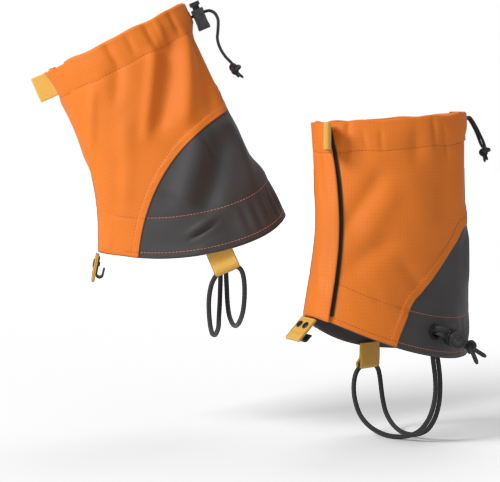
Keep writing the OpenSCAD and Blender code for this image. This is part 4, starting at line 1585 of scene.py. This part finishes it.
@dataclass
class Drawcord(Work):
    """The collar's drawcord: two strands out of the collar, a cord lock and a knot."""

    thick: float = 2.8
    gap: float = 3.5
    knot_size: float = 12.5
    out_reach: float = 8.5

    @property
    def drop(self) -> float:
        """How far below the collar's edge the cord runs."""
        return 11.0 if self.sleeve.left else 15.0

    @property
    def exit_angle(self) -> float:
        """Angle where the cord leaves the collar."""
        return 208.0 if self.sleeve.left else 180.0

    def frame(self, out: float) -> tuple[Array, Array, Array]:
        """Point, outward and sideways directions at the exit, out mm from the collar."""
        t, z = self.exit_angle, 229.0 - self.drop
        spot, way = self.sleeve.section(t, z, 0.4), self.sleeve.outward(t, z)
        return spot + way * out, way, np.cross([0, 0, 1], way)

    def route(self, k: int) -> Array:
        """Points of one strand's free end."""
        if self.sleeve.left:
            rest = [(-80, 13, 220.5), (-85, 11.5, 224), (-89.5, 11.5, 224.5),
                    (-94, 13.5, 218), (-98, 16, 209), (-101, 19, 199)]
        else:
            rest = [(-97, 0, 212.5), (-99.8, 0, 208.5), (-100, 0, 202), (-96.5, 0, 194),
                    (-92.5, 0, 186), (-91.5, 0, 177), (-93, 0, 168), (-96, 0, 160)]
        spot, way, side = self.frame(0.0)
        shift = side * k * self.gap / 2
        start = [spot + way * d + shift for d in (-1.5, 8, 16.5)]
        bent = []
        for i, p in enumerate(rest):
            lean = 1.0 if self.sleeve.left else math.cos(i * 0.5)
            squeeze = 1.0 - 0.25 * math.sin(math.pi * i / (len(rest) - 1))
            bent.append(np.array(p, float) + shift * squeeze * (0.55 + 0.45 * lean))
        return np.array(start + bent)

    def build(self) -> None:
        """Make the cords, the knot, the eyelet and the lock."""
        self.casing_cord()
        last = self.route(1)[-1] / 2 + self.route(-1)[-1] / 2
        centre = last + np.array([-2.0 if self.sleeve.left else -1.0, 1.0, -6.0])
        knot = self.knot(centre)
        for k, label in ((1, "outer"), (-1, "inner")):
            line = smooth_route(np.vstack([self.route(k), centre + [0, 0, 1.5]]), 0.8)
            path = self.world(line)
            made = tube_mesh(self.named(f"drawcord_{label}_strand"), path,
                             self.thick / 2 * MM, 14, relief=0.05, pitch=0.0025)
            nodes = ("drawcord_tails",) if k > 0 else ()
            self.settle(made, CORD, "shell", nodes)
        self.eyelet()
        self.lock()

    def knot(self, centre: Array) -> bpy.types.Object:
        """The knot that joins the two strands."""
        line = trefoil(self.knot_size, 3.6)
        turn = np.array(Matrix.Rotation(1.2, 3, "X") @ Matrix.Rotation(0.5, 3, "Z"))
        path = self.world(line @ turn.T + centre)
        made = tube_mesh(self.named("drawcord_knot_turns"), path, 1.75 * MM, 14, closed=True,
                         relief=0.05, pitch=0.0025)
        ends = []
        for k in (-1, 1):
            tip = centre + np.array([1.5 * k - 2.0, 3.0 * k, -9.5 + k])
            line = smooth_route([centre, centre * 0.5 + tip * 0.5 + [0.8, 0, 0], tip], 0.8)
            ends.append(tube_mesh(self.named(f"drawcord_end_{k + 2}"), self.world(line),
                                  lambda v: MM * (1.35 - 0.35 * ease(v, 0.8, 1.0)), 14,
                                  relief=0.05, pitch=0.0025))
        self.settle(made, CORD, "shell", ("drawcord_knot",))
        for end in ends:
            self.settle(end, CORD, "shell")
        return made

    def casing_cord(self) -> None:
        """The cord inside the collar's fold, round both ways to the exit."""
        sleeve = self.sleeve
        leave = self.exit_angle
        front = float(sleeve.edge_t(222.0)) - 28.0
        for label, start, stop in (("inner", 316.0, leave + 3), ("outer", front + 5, leave - 3)):
            t = np.linspace(start, stop, 160)
            z = sleeve.top_z(t) - self.drop
            line = sleeve.section(t, z, sleeve.drape(wrap(t), z) - 1.6)
            made = tube_mesh(self.named(f"casing_cord_{label}"), self.world(line),
                             self.thick / 2 * MM, 10)
            self.settle(made, CORD, "shell", ("drawcord",) if label == "inner" else ())

    def eyelet(self) -> None:
        """The rolled eyelet where the cord leaves the collar."""
        spot, way, side = self.frame(0.4)
        ring = Bench(self.named("collar_eyelet_ring"))
        ring.drum(5.9, 1.0, sides=48).pick(lambda c, n: n.z > 0.9)
        ring.inset(1.9).extrude((0, 0, -0.5))
        ring.pick(lambda c, n: n.z < -0.9).inset(1.9)
        ring.round(0.35, 3)
        frame = self.sleeve.attitude.matrix() @ frame_of(spot, side, np.array([0, 0, 1.0]), way)
        ring.bore(4.0, 8.0, Matrix.Identity(4), 40)
        self.settle(ring.done(frame), EYELET, "shell", ("collar_eyelet",))

    def lock(self) -> None:
        """The square cord lock with its ribbed push button."""
        spot, way, side = self.frame(self.out_reach)
        frame = self.sleeve.attitude.matrix() @ frame_of(spot, way, side, np.array([0, 0, 1.0]))
        body = Bench(self.named("collar_lock_case"))
        body.block((11, 13, 20), (0, 0, -5))
        for z in (-12.0, 2.0):
            body.slice((0, 0, z), (0, 0, 1))
        body.pick(lambda c, n: abs(n.z) < 0.3 and -10 < c.z < 0).inset(1.2).extrude((0, 0, 0))
        body.pick(lambda c, n: abs(n.x) > 0.9 and abs(c.y) < 4 and -10 < c.z < 0)
        bpy.ops.transform.resize(value=(0.93, 1, 1))
        body.round(0.9, 3)
        for k in (-1, 1):
            across = frame_of(np.array([0, k * self.gap / 2, 0]), np.array([0, 1.0, 0]),
                              np.array([0, 0, 1.0]), np.array([1.0, 0, 0]))
            body.bore(1.9, 20, across)
        self.settle(body.done(frame), PLASTIC, "collar_lock", ("collar_lock_body",))
        button = Bench(self.named("collar_lock_button"))
        button.block((9, 11.2, 3.6), (0, 0, 10.2))
        button.pick(lambda c, n: n.z > 0.9).inset(1.0).extrude((0, 0, -0.4))
        button.pick(lambda c, n: n.z < -0.9).inset(1.4).extrude((0, 0, -8.0))
        button.round(0.6, 3)
        self.settle(button.done(frame), PLASTIC, "collar_button", ("collar_lock_plunger",))
        for n in range(4):
            rib = Bench(self.named(f"collar_button_rib_{n + 1}"))
            rib.block((0.8, 8.6, 0.8), (-2.7 + 1.8 * n, 0, 11.7))
            rib.round(0.3, 2)
            self.settle(rib.done(frame), PLASTIC, "collar_button")


@dataclass
class FootLoop(Work):
    """The cord that passes under the boot, with its eyelet, lock and knot."""

    thick: float = 4.0
    spread: float = 2.15
    lock_at: tuple[float, float, float] = (-19.0, 63.0, 24.0)
    knot_size: float = 13.0
    run_out: tuple[tuple[float, float, float], ...] = (
        (-6.9, 55.5, 33.6), (-7, 51.5, 32.6), (-7.3, 46.5, 31.4), (-8.5, 43.2, 26),
        (-10.5, 42.6, 14), (-12, 43.5, 0), (-13.5, 44.5, -14), (-14.5, 44, -28),
        (-14, 41.5, -42), (-13, 36, -55), (-11.5, 26.5, -66), (-10, 13, -72.5), (-7, -1, -75),
        (-4, -15, -74), (-0.5, -28, -69), (2, -38.5, -60), (3.5, -44, -48.5),
        (4, -46.5, -37), (3, -47.2, -27), (0.5, -47, -19), (-4, -46.6, -14),
        (-9, -46.5, -12.3), (-14, -46.5, -12))
    run_back: tuple[tuple[float, float, float], ...] = (
        (-19, -46.5, -12.3), (-24, -46.6, -14), (-28.5, -47, -19), (-31, -47.2, -27),
        (-32, -46.5, -37), (-32, -44, -48.5), (-31, -38.5, -60), (-29, -28, -69),
        (-27, -15, -74), (-25, -1, -75), (-23.5, 13, -72.5), (-22, 26.5, -66),
        (-21.3, 36, -55), (-21, 41.5, -42), (-20.5, 44, -28), (-19.5, 44.5, -14),
        (-18.2, 43.5, 0), (-15.8, 42.4, 13), (-12.6, 43.2, 22.5), (-10.9, 46.5, 28.2),
        (-9.6, 51.3, 28.4), (-8.2, 55, 28.6))

    def __post_init__(self) -> None:
        """Work out the lock's directions."""
        self.w = unit(np.array([0.43, 0.90, 0.0]))
        self.c = unit(np.array([-0.79, 0.377, -0.47]))
        self.v = np.cross(self.w, self.c)

    def at_lock(self, along: float, k: int) -> Array:
        """A point on a strand at the lock."""
        return np.array(self.lock_at) + self.c * along + self.v * k * self.spread

    def plumb(self, p: Sequence[float]) -> Array:
        """Below its tab the leaning gaiter's loop hangs straight down."""
        x, y, z = p
        below = z + 12.0
        if self.sleeve.left or below >= 0:
            return np.array(p, float)
        lean = math.radians(self.sleeve.attitude.pitch)
        return np.array([x - below * math.sin(lean), y, below * math.cos(lean) - 12.0])

    def build(self) -> None:
        """Make the cord, its knot, the eyelet and the lock."""
        middle = [self.plumb(p) for p in self.run_out + self.run_back]
        route = ([self.at_lock(x, 1) for x in (15.5, 6, -6, -12.5)] + middle
                 + [self.at_lock(x, -1) for x in (-12.5, -6, 6, 15.5)])
        path = self.world(smooth_route(route, 1.2))
        made = tube_mesh(self.named("foot_cord_loop"), path, self.thick / 2 * MM, 16,
                         relief=0.05, pitch=0.0034)
        self.settle(made, FOOT_CORD, "shell", ("foot_cord",))
        knot = self.knot()
        self.eyelet()
        self.lock()

    def knot(self) -> list[bpy.types.Object]:
        """The knot past the lock, and its two short ends."""
        base = self.at_lock(17.5, 0)
        axes = np.stack([self.c, self.v, self.w])
        line = trefoil(self.knot_size, 4.2)[:, [2, 0, 1]] @ axes + base
        made = tube_mesh(self.named("foot_knot_turns"), self.world(line), 2.15 * MM, 14,
                         closed=True, relief=0.05, pitch=0.0034)
        self.settle(made, FOOT_CORD, "shell", ("foot_knot",))
        pieces = [made]
        for n, tip in enumerate(((9.5, -0.5, -2), (8, -5, -3.5))):
            tip = np.array(tip, float)
            marks = np.array([tip * 0.1, tip * 0.7, tip * 1.35, tip * 2.0]) @ axes + base
            line = self.world(smooth_route(marks, 0.8))
            end = tube_mesh(self.named(f"foot_cord_end_{n + 1}"), line,
                            lambda v: MM * (1.8 - 0.5 * ease(v, 0.86, 1.0)), 14,
                            relief=0.05, pitch=0.0034)
            self.settle(end, FOOT_CORD, "shell")
            pieces.append(end)
        return pieces

    def eyelet(self) -> None:
        """The rolled eyelet in the hem."""
        sleeve = self.sleeve
        spot, way = sleeve.section(*sleeve.eyelet), sleeve.outward(*sleeve.eyelet)
        frame = sleeve.attitude.matrix() @ frame_of(
            spot, np.cross([0, 0, 1], way), np.array([0, 0, 1.0]), way)
        ring = Bench(self.named("foot_eyelet_ring"))
        ring.drum(7.4, 0.9, (0, 0, 1.7), sides=48).pick(lambda c, n: n.z > 0.9)
        ring.inset(1.5).extrude((0, 0, 0.25))
        ring.pick(lambda c, n: n.z < -0.9).inset(1.2).extrude((0, 0, -4.0))
        ring.round(0.35, 3)
        ring.bore(5.2, 16.0, Matrix.Identity(4), 40)
        self.settle(ring.done(frame), EYELET, "shell", ("foot_eyelet",))

    def lock(self) -> None:
        """The round cord lock with its dished push button."""
        frame = self.sleeve.attitude.matrix() @ frame_of(
            np.array(self.lock_at), self.c, self.v, self.w)
        body = Bench(self.named("foot_lock_case"))
        body.drum(8.2, 12.2, (0, 0, -1.9))
        body.pick(lambda c, n: n.z < -0.9).inset(2.2).extrude((0, 0, -0.6))
        body.pick(lambda c, n: n.z > 0.9).inset(1.3).extrude((0, 0, -0.7))
        body.round(0.9, 3)
        for k in (-1, 1):
            across = frame_of(np.array([0, k * self.spread, 0]), np.array([0, 1.0, 0]),
                              np.array([0, 0, 1.0]), np.array([1.0, 0, 0]))
            body.bore(2.5, 24, across)
        self.settle(body.done(frame), PLASTIC, "foot_lock", ("foot_lock_body",))
        button = Bench(self.named("foot_lock_button"))
        button.drum(8.4, 2.8, (0, 0, 8.4))
        button.pick(lambda c, n: n.z > 0.9).inset(1.4).inset(0.9, -0.7)
        button.pick(lambda c, n: n.z > 0.9 and math.hypot(c.x, c.y) < 3).inset(2.6, 0.0)
        button.inset(0.8, 0.5)
        button.pick(lambda c, n: n.z < -0.9).inset(3.2).extrude((0, 0, -8.0))
        button.round(0.5, 4, 25)
        self.settle(button.done(frame), GLOSS, "foot_button", ("foot_lock_plunger",))


# ---- Webbing and the lace hook ----


@dataclass
class Tabs(Work):
    """The pull tab, the tab with the lace hook, and the foot cord's tab."""

    width: float = 24.0
    thick: float = 1.35
    tilt: float = 44.0

    def build(self) -> None:
        """Make the three tabs and the lace hook."""
        self.pull_tab()
        self.lace_tab()
        self.lace_hook()
        self.rivets()
        self.foot_tab()

    def strap(self, name: str, line: Array, across: Array, body: str,
              nodes: Sequence[str]) -> bpy.types.Object:
        """A folded piece of webbing.

        Args:
            name: The piece's name without the side.
            line: Its middle line, in the gaiter's frame.
            across: The direction of its width.
            body: The body it rides on.
            nodes: The nodes it stands for.

        Returns:
            The strap.
        """
        line = resample(line, 0.55)
        along = unit(np.gradient(line, axis=0))
        normal = unit(np.cross(along, across))
        share = np.linspace(-1, 1, 34)
        edge = np.sqrt(np.maximum(0, 1 - np.maximum(0, (np.abs(share) - 0.955) / 0.045) ** 2))
        edge = 0.45 + 0.55 * edge
        run = np.concatenate([[0], np.cumsum(np.linalg.norm(np.diff(line, axis=0), axis=1))])
        rib = 0.09 * np.sin(run * math.tau / 1.1)
        both = []
        for way in (1, -1):
            half = way * (self.thick / 2 * edge[None, :] + rib[:, None] * edge[None, :])
            wide = across[None, None, :] * (share * self.width / 2)[None, :, None]
            both.append(line[:, None, :] + wide + normal[:, None, :] * half[..., None])
        uvs = np.stack(np.broadcast_arrays((share * self.width / 2)[None, :], run[:, None]), -1) * MM
        made = make_mesh(self.named(name), self.world(np.concatenate(both).reshape(-1, 3)),
                         shell_faces(len(line), len(share)),
                         np.tile(uvs.reshape(-1, 2), (2, 1)))
        turn_out(made)
        self.settle(made, YELLOW, body, nodes)
        flat = line[:, None, :] + across[None, None, :] * (share * self.width / 2)[None, :, None]
        self.declare(made, flat, uvs, ("front_flap",) if body != "shell" else ("hem_facing",),
                     held="folded")
        return made

    def box_stitch(self, name: str, corners: Sequence[Array], body: str) -> None:
        """Stitching along a line of corners."""
        line = np.vstack([resample(np.array([a, b]), 0.6)
                          for a, b in zip(corners[:-1], corners[1:])])
        self.stitches(name, line, YELLOW_THREAD, body, 2.6, 1.8, 0.5)

    def pull_tab(self) -> None:
        """The folded tab at the top of the flap's edge."""
        sleeve = self.sleeve
        t = float(sleeve.edge_t(208.0)) - 1.5
        way = sleeve.outward(t, 208.0)
        base = sleeve.section(t, 208.0, 0.3 + 3.9 + 1.2 + (0.5 if sleeve.left else 0.0))
        lean = Matrix.Rotation(math.radians(28.0 if sleeve.left else 0.0), 3, "Z")
        out = np.array(lean @ Vector(way))
        side = np.cross([0, 0, 1], out)
        h = 2.3 if sleeve.left else 1.5
        turn = np.linspace(math.pi / 2, -math.pi / 2, 12)
        bend = [(18.0 + h * math.cos(a), h * 1.15 * math.sin(a)) for a in turn]
        outline = [(0.0, 2.6), (0.6, 1.6), (2.2, 1.2), (9, h), (16, h * 1.15)] + bend[1:-1]
        outline += [(16, -h * 1.15), (9, -h), (2.2, -1.2), (0.6, -1.6), (0.0, -2.6)]
        pts = smooth_route([(x, y, 0) for x, y in outline], 0.5)
        line = base + pts[:, :1] * out + pts[:, 1:2] * side
        self.strap("pull_tab_webbing", line, np.array([0, 0, 1.0]), "flap", ("pull_tab",))

    def lace_frame(self) -> tuple[Array, Array, Array, Array]:
        """Origin and directions of the lace tab: along it, across it and out of it."""
        left = self.sleeve.left
        yaw = Matrix.Rotation(math.radians(-12.0 if left else 0.0), 3, "Z")
        frame = np.array(yaw @ Matrix.Rotation(math.radians(90 - self.tilt), 3, "Y"))
        return self.sleeve.section(5.0 if left else -3.0, 45.0, 3.0), *frame.T

    def lace_tab(self) -> None:
        """Doubled webbing that hangs from the flap's lower end."""
        origin, x, y, z = self.lace_frame()
        outline = [(2.5, 2.15), (6, 2.1), (14, 2.05), (24, 2.05), (26.2, 1.95), (27.2, 1.4),
                   (26.2, 0.85), (24, 0.7), (14, 0.7), (6, 0.7), (2.5, 0.7)]
        pts = smooth_route([(a, b, 0) for a, b in outline], 0.5)
        line = origin + pts[:, :1] * x + pts[:, 1:2] * z
        self.strap("lace_tab_webbing", line, y, "lace_tab", ("lace_tab",))
        top = 2.85
        rows = [origin + x * a + y * b + z * top for a, b in
                ((5.2, -10.4), (5.2, 10.4), (20.5, 10.4), (20.5, -10.4), (5.2, -10.4))]
        self.box_stitch("lace_tab_stitch", rows, "lace_tab")

    def lace_hook(self) -> None:
        """The bent steel hook under the lace tab."""
        origin, x, y, z = self.lace_frame()
        half, t = 8.0, 1.2
        turn = np.linspace(math.pi / 2, -math.pi / 2, 14)
        r = 2.5 + t / 2
        line = [(5, -t / 2), (9, -t / 2), (14, -t / 2), (19, -t / 2)]
        line += [(20 + r * math.cos(a), -2.5 - t + r * math.sin(a)) for a in turn]
        line += [(17, -2.5 - t - r), (14.2, -2.5 - t - r - 0.3)]
        plate = Bench(self.named("lace_hook_plate"))
        plate.block((0.6, 2 * half, t), (0, 0, 0))
        plate.pick(lambda c, n: n.x > 0.9)
        frame = self.sleeve.attitude.matrix() @ frame_of(origin, x, y, z)
        before = None
        for (x0, z0), (x1, z1) in zip(line[:-1], line[1:]):
            step = Vector((x1 - x0, 0, z1 - z0))
            bpy.ops.mesh.extrude_region_move(TRANSFORM_OT_translate={"value": tuple(step)})
            if before is not None:
                angle = math.atan2(step.z, step.x) - math.atan2(before.z, before.x)
                angle = (angle + math.pi) % math.tau - math.pi
                centre = Vector((x1 - line[0][0] + 0.3, 0, z1 - line[0][1]))
                bpy.ops.transform.rotate(value=angle, orient_axis="Y", center_override=centre)
            before = step
        plate.round(0.35, 3, 30)
        made = plate.done(frame @ Matrix.Translation((line[0][0] - 0.3, 0, line[0][1])))
        self.settle(made, STEEL, "lace_tab", ("lace_hook",))

    def rivets(self) -> None:
        """Two domed rivets through the tab and the hook."""
        origin, x, y, z = self.lace_frame()
        for n, k in enumerate((-1, 1)):
            frame = self.sleeve.attitude.matrix() @ frame_of(
                origin + x * 11.0 + y * k * 5.4, x, y, z)
            rivet = Bench(self.named(f"lace_rivet_{n + 1}"))
            rivet.drum(3.6, 0.8, (0, 0, 3.2), sides=40)
            rivet.pick(lambda c, n: n.z > 0.9).inset(0.7, 0.25).inset(0.9, 0.15)
            rivet.pick(lambda c, n: n.z < -0.9).inset(2.0).extrude((0, 0, -4.4))
            rivet.extrude((0, 0, -0.6))
            rivet.round(0.25, 3, 25)
            self.settle(rivet.done(frame), RIVET, "lace_tab",
                        ("lace_rivets",) if k < 0 else ())

    def foot_tab(self) -> None:
        """The loop of webbing that the foot cord passes through."""
        turn = np.linspace(0, math.pi, 14)
        r, centre = 3.0, np.array([-14.0, -46.5, -12.0])
        outline = [(2.0, 21.5), (1.9, 14.0), (1.7, 8.5), (0.2, 5.5), (-r * 0.9, 2.4)]
        outline += [(-r * math.cos(a), -r * math.sin(a)) for a in turn]
        outline += [(r, 2.4), (3.3, 5.5), (3.3, 8.5), (3.3, 14.0), (3.3, 21.5)]
        pts = smooth_route([(0, a, b) for a, b in outline], 0.5)
        self.strap("foot_tab_webbing", pts + centre, np.array([1.0, 0, 0]), "shell",
                   ("foot_tab",))


def turn_out(made: bpy.types.Object) -> None:
    """Make every face of a closed piece point outwards."""
    bpy.ops.object.select_all(action="DESELECT")
    made.select_set(True)
    bpy.context.view_layer.objects.active = made
    bpy.ops.object.mode_set(mode="EDIT")
    bpy.ops.mesh.select_all(action="SELECT")
    bpy.ops.mesh.normals_make_consistent(inside=False)
    bpy.ops.object.mode_set(mode="OBJECT")
    made.select_set(False)


# ---- The pair, the kept parts and the studio ----


@dataclass
class KeptParts:
    """Finishes for the parts that stay as they are: springs and the sewn-in elastic."""

    palette: Palette
    nodes: dict[str, bpy.types.Object]
    finishes: tuple[tuple[str, Finish], ...] = (("spring", SPRING), ("elastic", ELASTIC))

    def build(self) -> None:
        """Dress each kept part."""
        for name, made in self.nodes.items():
            for ending, finish in self.finishes:
                if name.endswith(ending):
                    made.data.materials.clear()
                    made.data.materials.append(self.palette.get(finish))
                    LOG.info("kept part %s", name)


@dataclass
class Gaiter:
    """One gaiter, built from its sub-assemblies."""

    sleeve: Sleeve
    palette: Palette

    def build(self) -> None:
        """Build the cords first, then the cloth and the webbing."""
        FootLoop(self.sleeve, self.palette).build()
        Drawcord(self.sleeve, self.palette).build()
        ClothBody(self.sleeve, self.palette).build()
        Tabs(self.sleeve, self.palette, tilt=44.0 if self.sleeve.left else 34.0).build()


@dataclass
class Studio:
    """Camera, lights, floor and backdrop."""

    azimuth: float = 51.0
    elevation: float = 4.4
    spot: tuple[float, float, float] = (1.0733, -1.0387, 0.2246)
    lens: float = 115.6
    floor_z: float = -0.0775

    def camera(self) -> None:
        """Set the camera at the viewing angle."""
        data = bpy.data.cameras.new("camera")
        data.lens, data.sensor_width = self.lens, 36.0
        data.clip_start, data.clip_end = 0.05, 50.0
        made = bpy.data.objects.new("camera", data)
        bpy.context.scene.collection.objects.link(made)
        a, e = math.radians(self.azimuth), math.radians(self.elevation)
        back = Vector((math.sin(a) * math.cos(e), -math.cos(a) * math.cos(e), math.sin(e)))
        made.location = self.spot
        made.rotation_mode = "QUATERNION"
        made.rotation_quaternion = (-back).to_track_quat("-Z", "Y")
        bpy.context.scene.camera = made

    def floor(self) -> None:
        """A pale floor."""
        material = bpy.data.materials.new("pale_floor")
        material.use_nodes = True
        shader = material.node_tree.nodes["Principled BSDF"]
        shader.inputs["Base Color"].default_value = rgba((0.86, 0.86, 0.86))
        shader.inputs["Roughness"].default_value = 0.8
        size = 6.0
        points = np.array([(-size, -size, 0), (size, -size, 0), (size, size, 0),
                           (-size, size, 0)]) + [0, 0, self.floor_z]
        made = make_mesh("studio_floor", points, [(0, 1, 2, 3)])
        made.data.materials.append(material)
        made.is_shadow_catcher = True
        made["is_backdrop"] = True

    def lamp(self, name: str, azimuth: float, elevation: float, far: float, size: float,
             power: float) -> None:
        """A soft square lamp that looks at the pair."""
        data = bpy.data.lights.new(name, "AREA")
        data.size, data.energy = size, power
        made = bpy.data.objects.new(name, data)
        bpy.context.scene.collection.objects.link(made)
        a, e = math.radians(azimuth), math.radians(elevation)
        way = Vector((math.sin(a) * math.cos(e), -math.cos(a) * math.cos(e), math.sin(e)))
        made.location = Vector((-0.03, -0.03, 0.12)) + way * far
        made.rotation_mode = "QUATERNION"
        made.rotation_quaternion = (-way).to_track_quat("-Z", "Y")

    def build(self) -> None:
        """Lights, floor and a pale surround."""
        self.floor()
        self.lamp("key", self.azimuth - 58, 34, 1.9, 0.6, 27)
        self.lamp("fill", self.azimuth + 30, 15, 2.4, 1.8, 2.5)
        self.lamp("top", self.azimuth + 160, 62, 1.8, 1.2, 6)
        world = bpy.context.scene.world or bpy.data.worlds.new("surround")
        bpy.context.scene.world = world
        world.use_nodes = True
        graph = Graph(world.node_tree)
        glow = graph.node("ShaderNodeBackground")
        glow.inputs["Color"].default_value = (1.0, 1.0, 1.0, 1.0)
        rays = graph.node("ShaderNodeLightPath")
        graph.put(glow.inputs["Strength"],
                  graph.span(rays.outputs["Is Camera Ray"], 0, 1, 0.36, 1.0))
        graph.put(graph.node("ShaderNodeOutputWorld").inputs["Surface"], glow.outputs[0])
        bpy.context.scene.view_settings.view_transform = "Standard"


def corners() -> list[list[float]]:
    """The shown model's box as plain lists."""
    return [[float(x) for x in corner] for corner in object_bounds()]


def main() -> None:
    """Build the pair of gaiters."""
    logging.basicConfig(level=logging.INFO, format="%(name)s: %(message)s")
    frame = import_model()
    studio = Studio()
    studio.camera()
    palette = Palette()
    left = Attitude((0.0, 0.0, 0.0), 0.0, 0.0, False)
    right = Attitude((-0.1364, -0.1146, 0.091), 23.0, 34.0, True)
    KeptParts(palette, frame["nodes"]).build()
    Gaiter(Sleeve(Side.LEFT, left, LEFT_FOLDS), palette).build()
    Gaiter(Sleeve(Side.RIGHT, right, RIGHT_FOLDS), palette).build()
    studio.build()


if __name__ == "__main__":
    main()
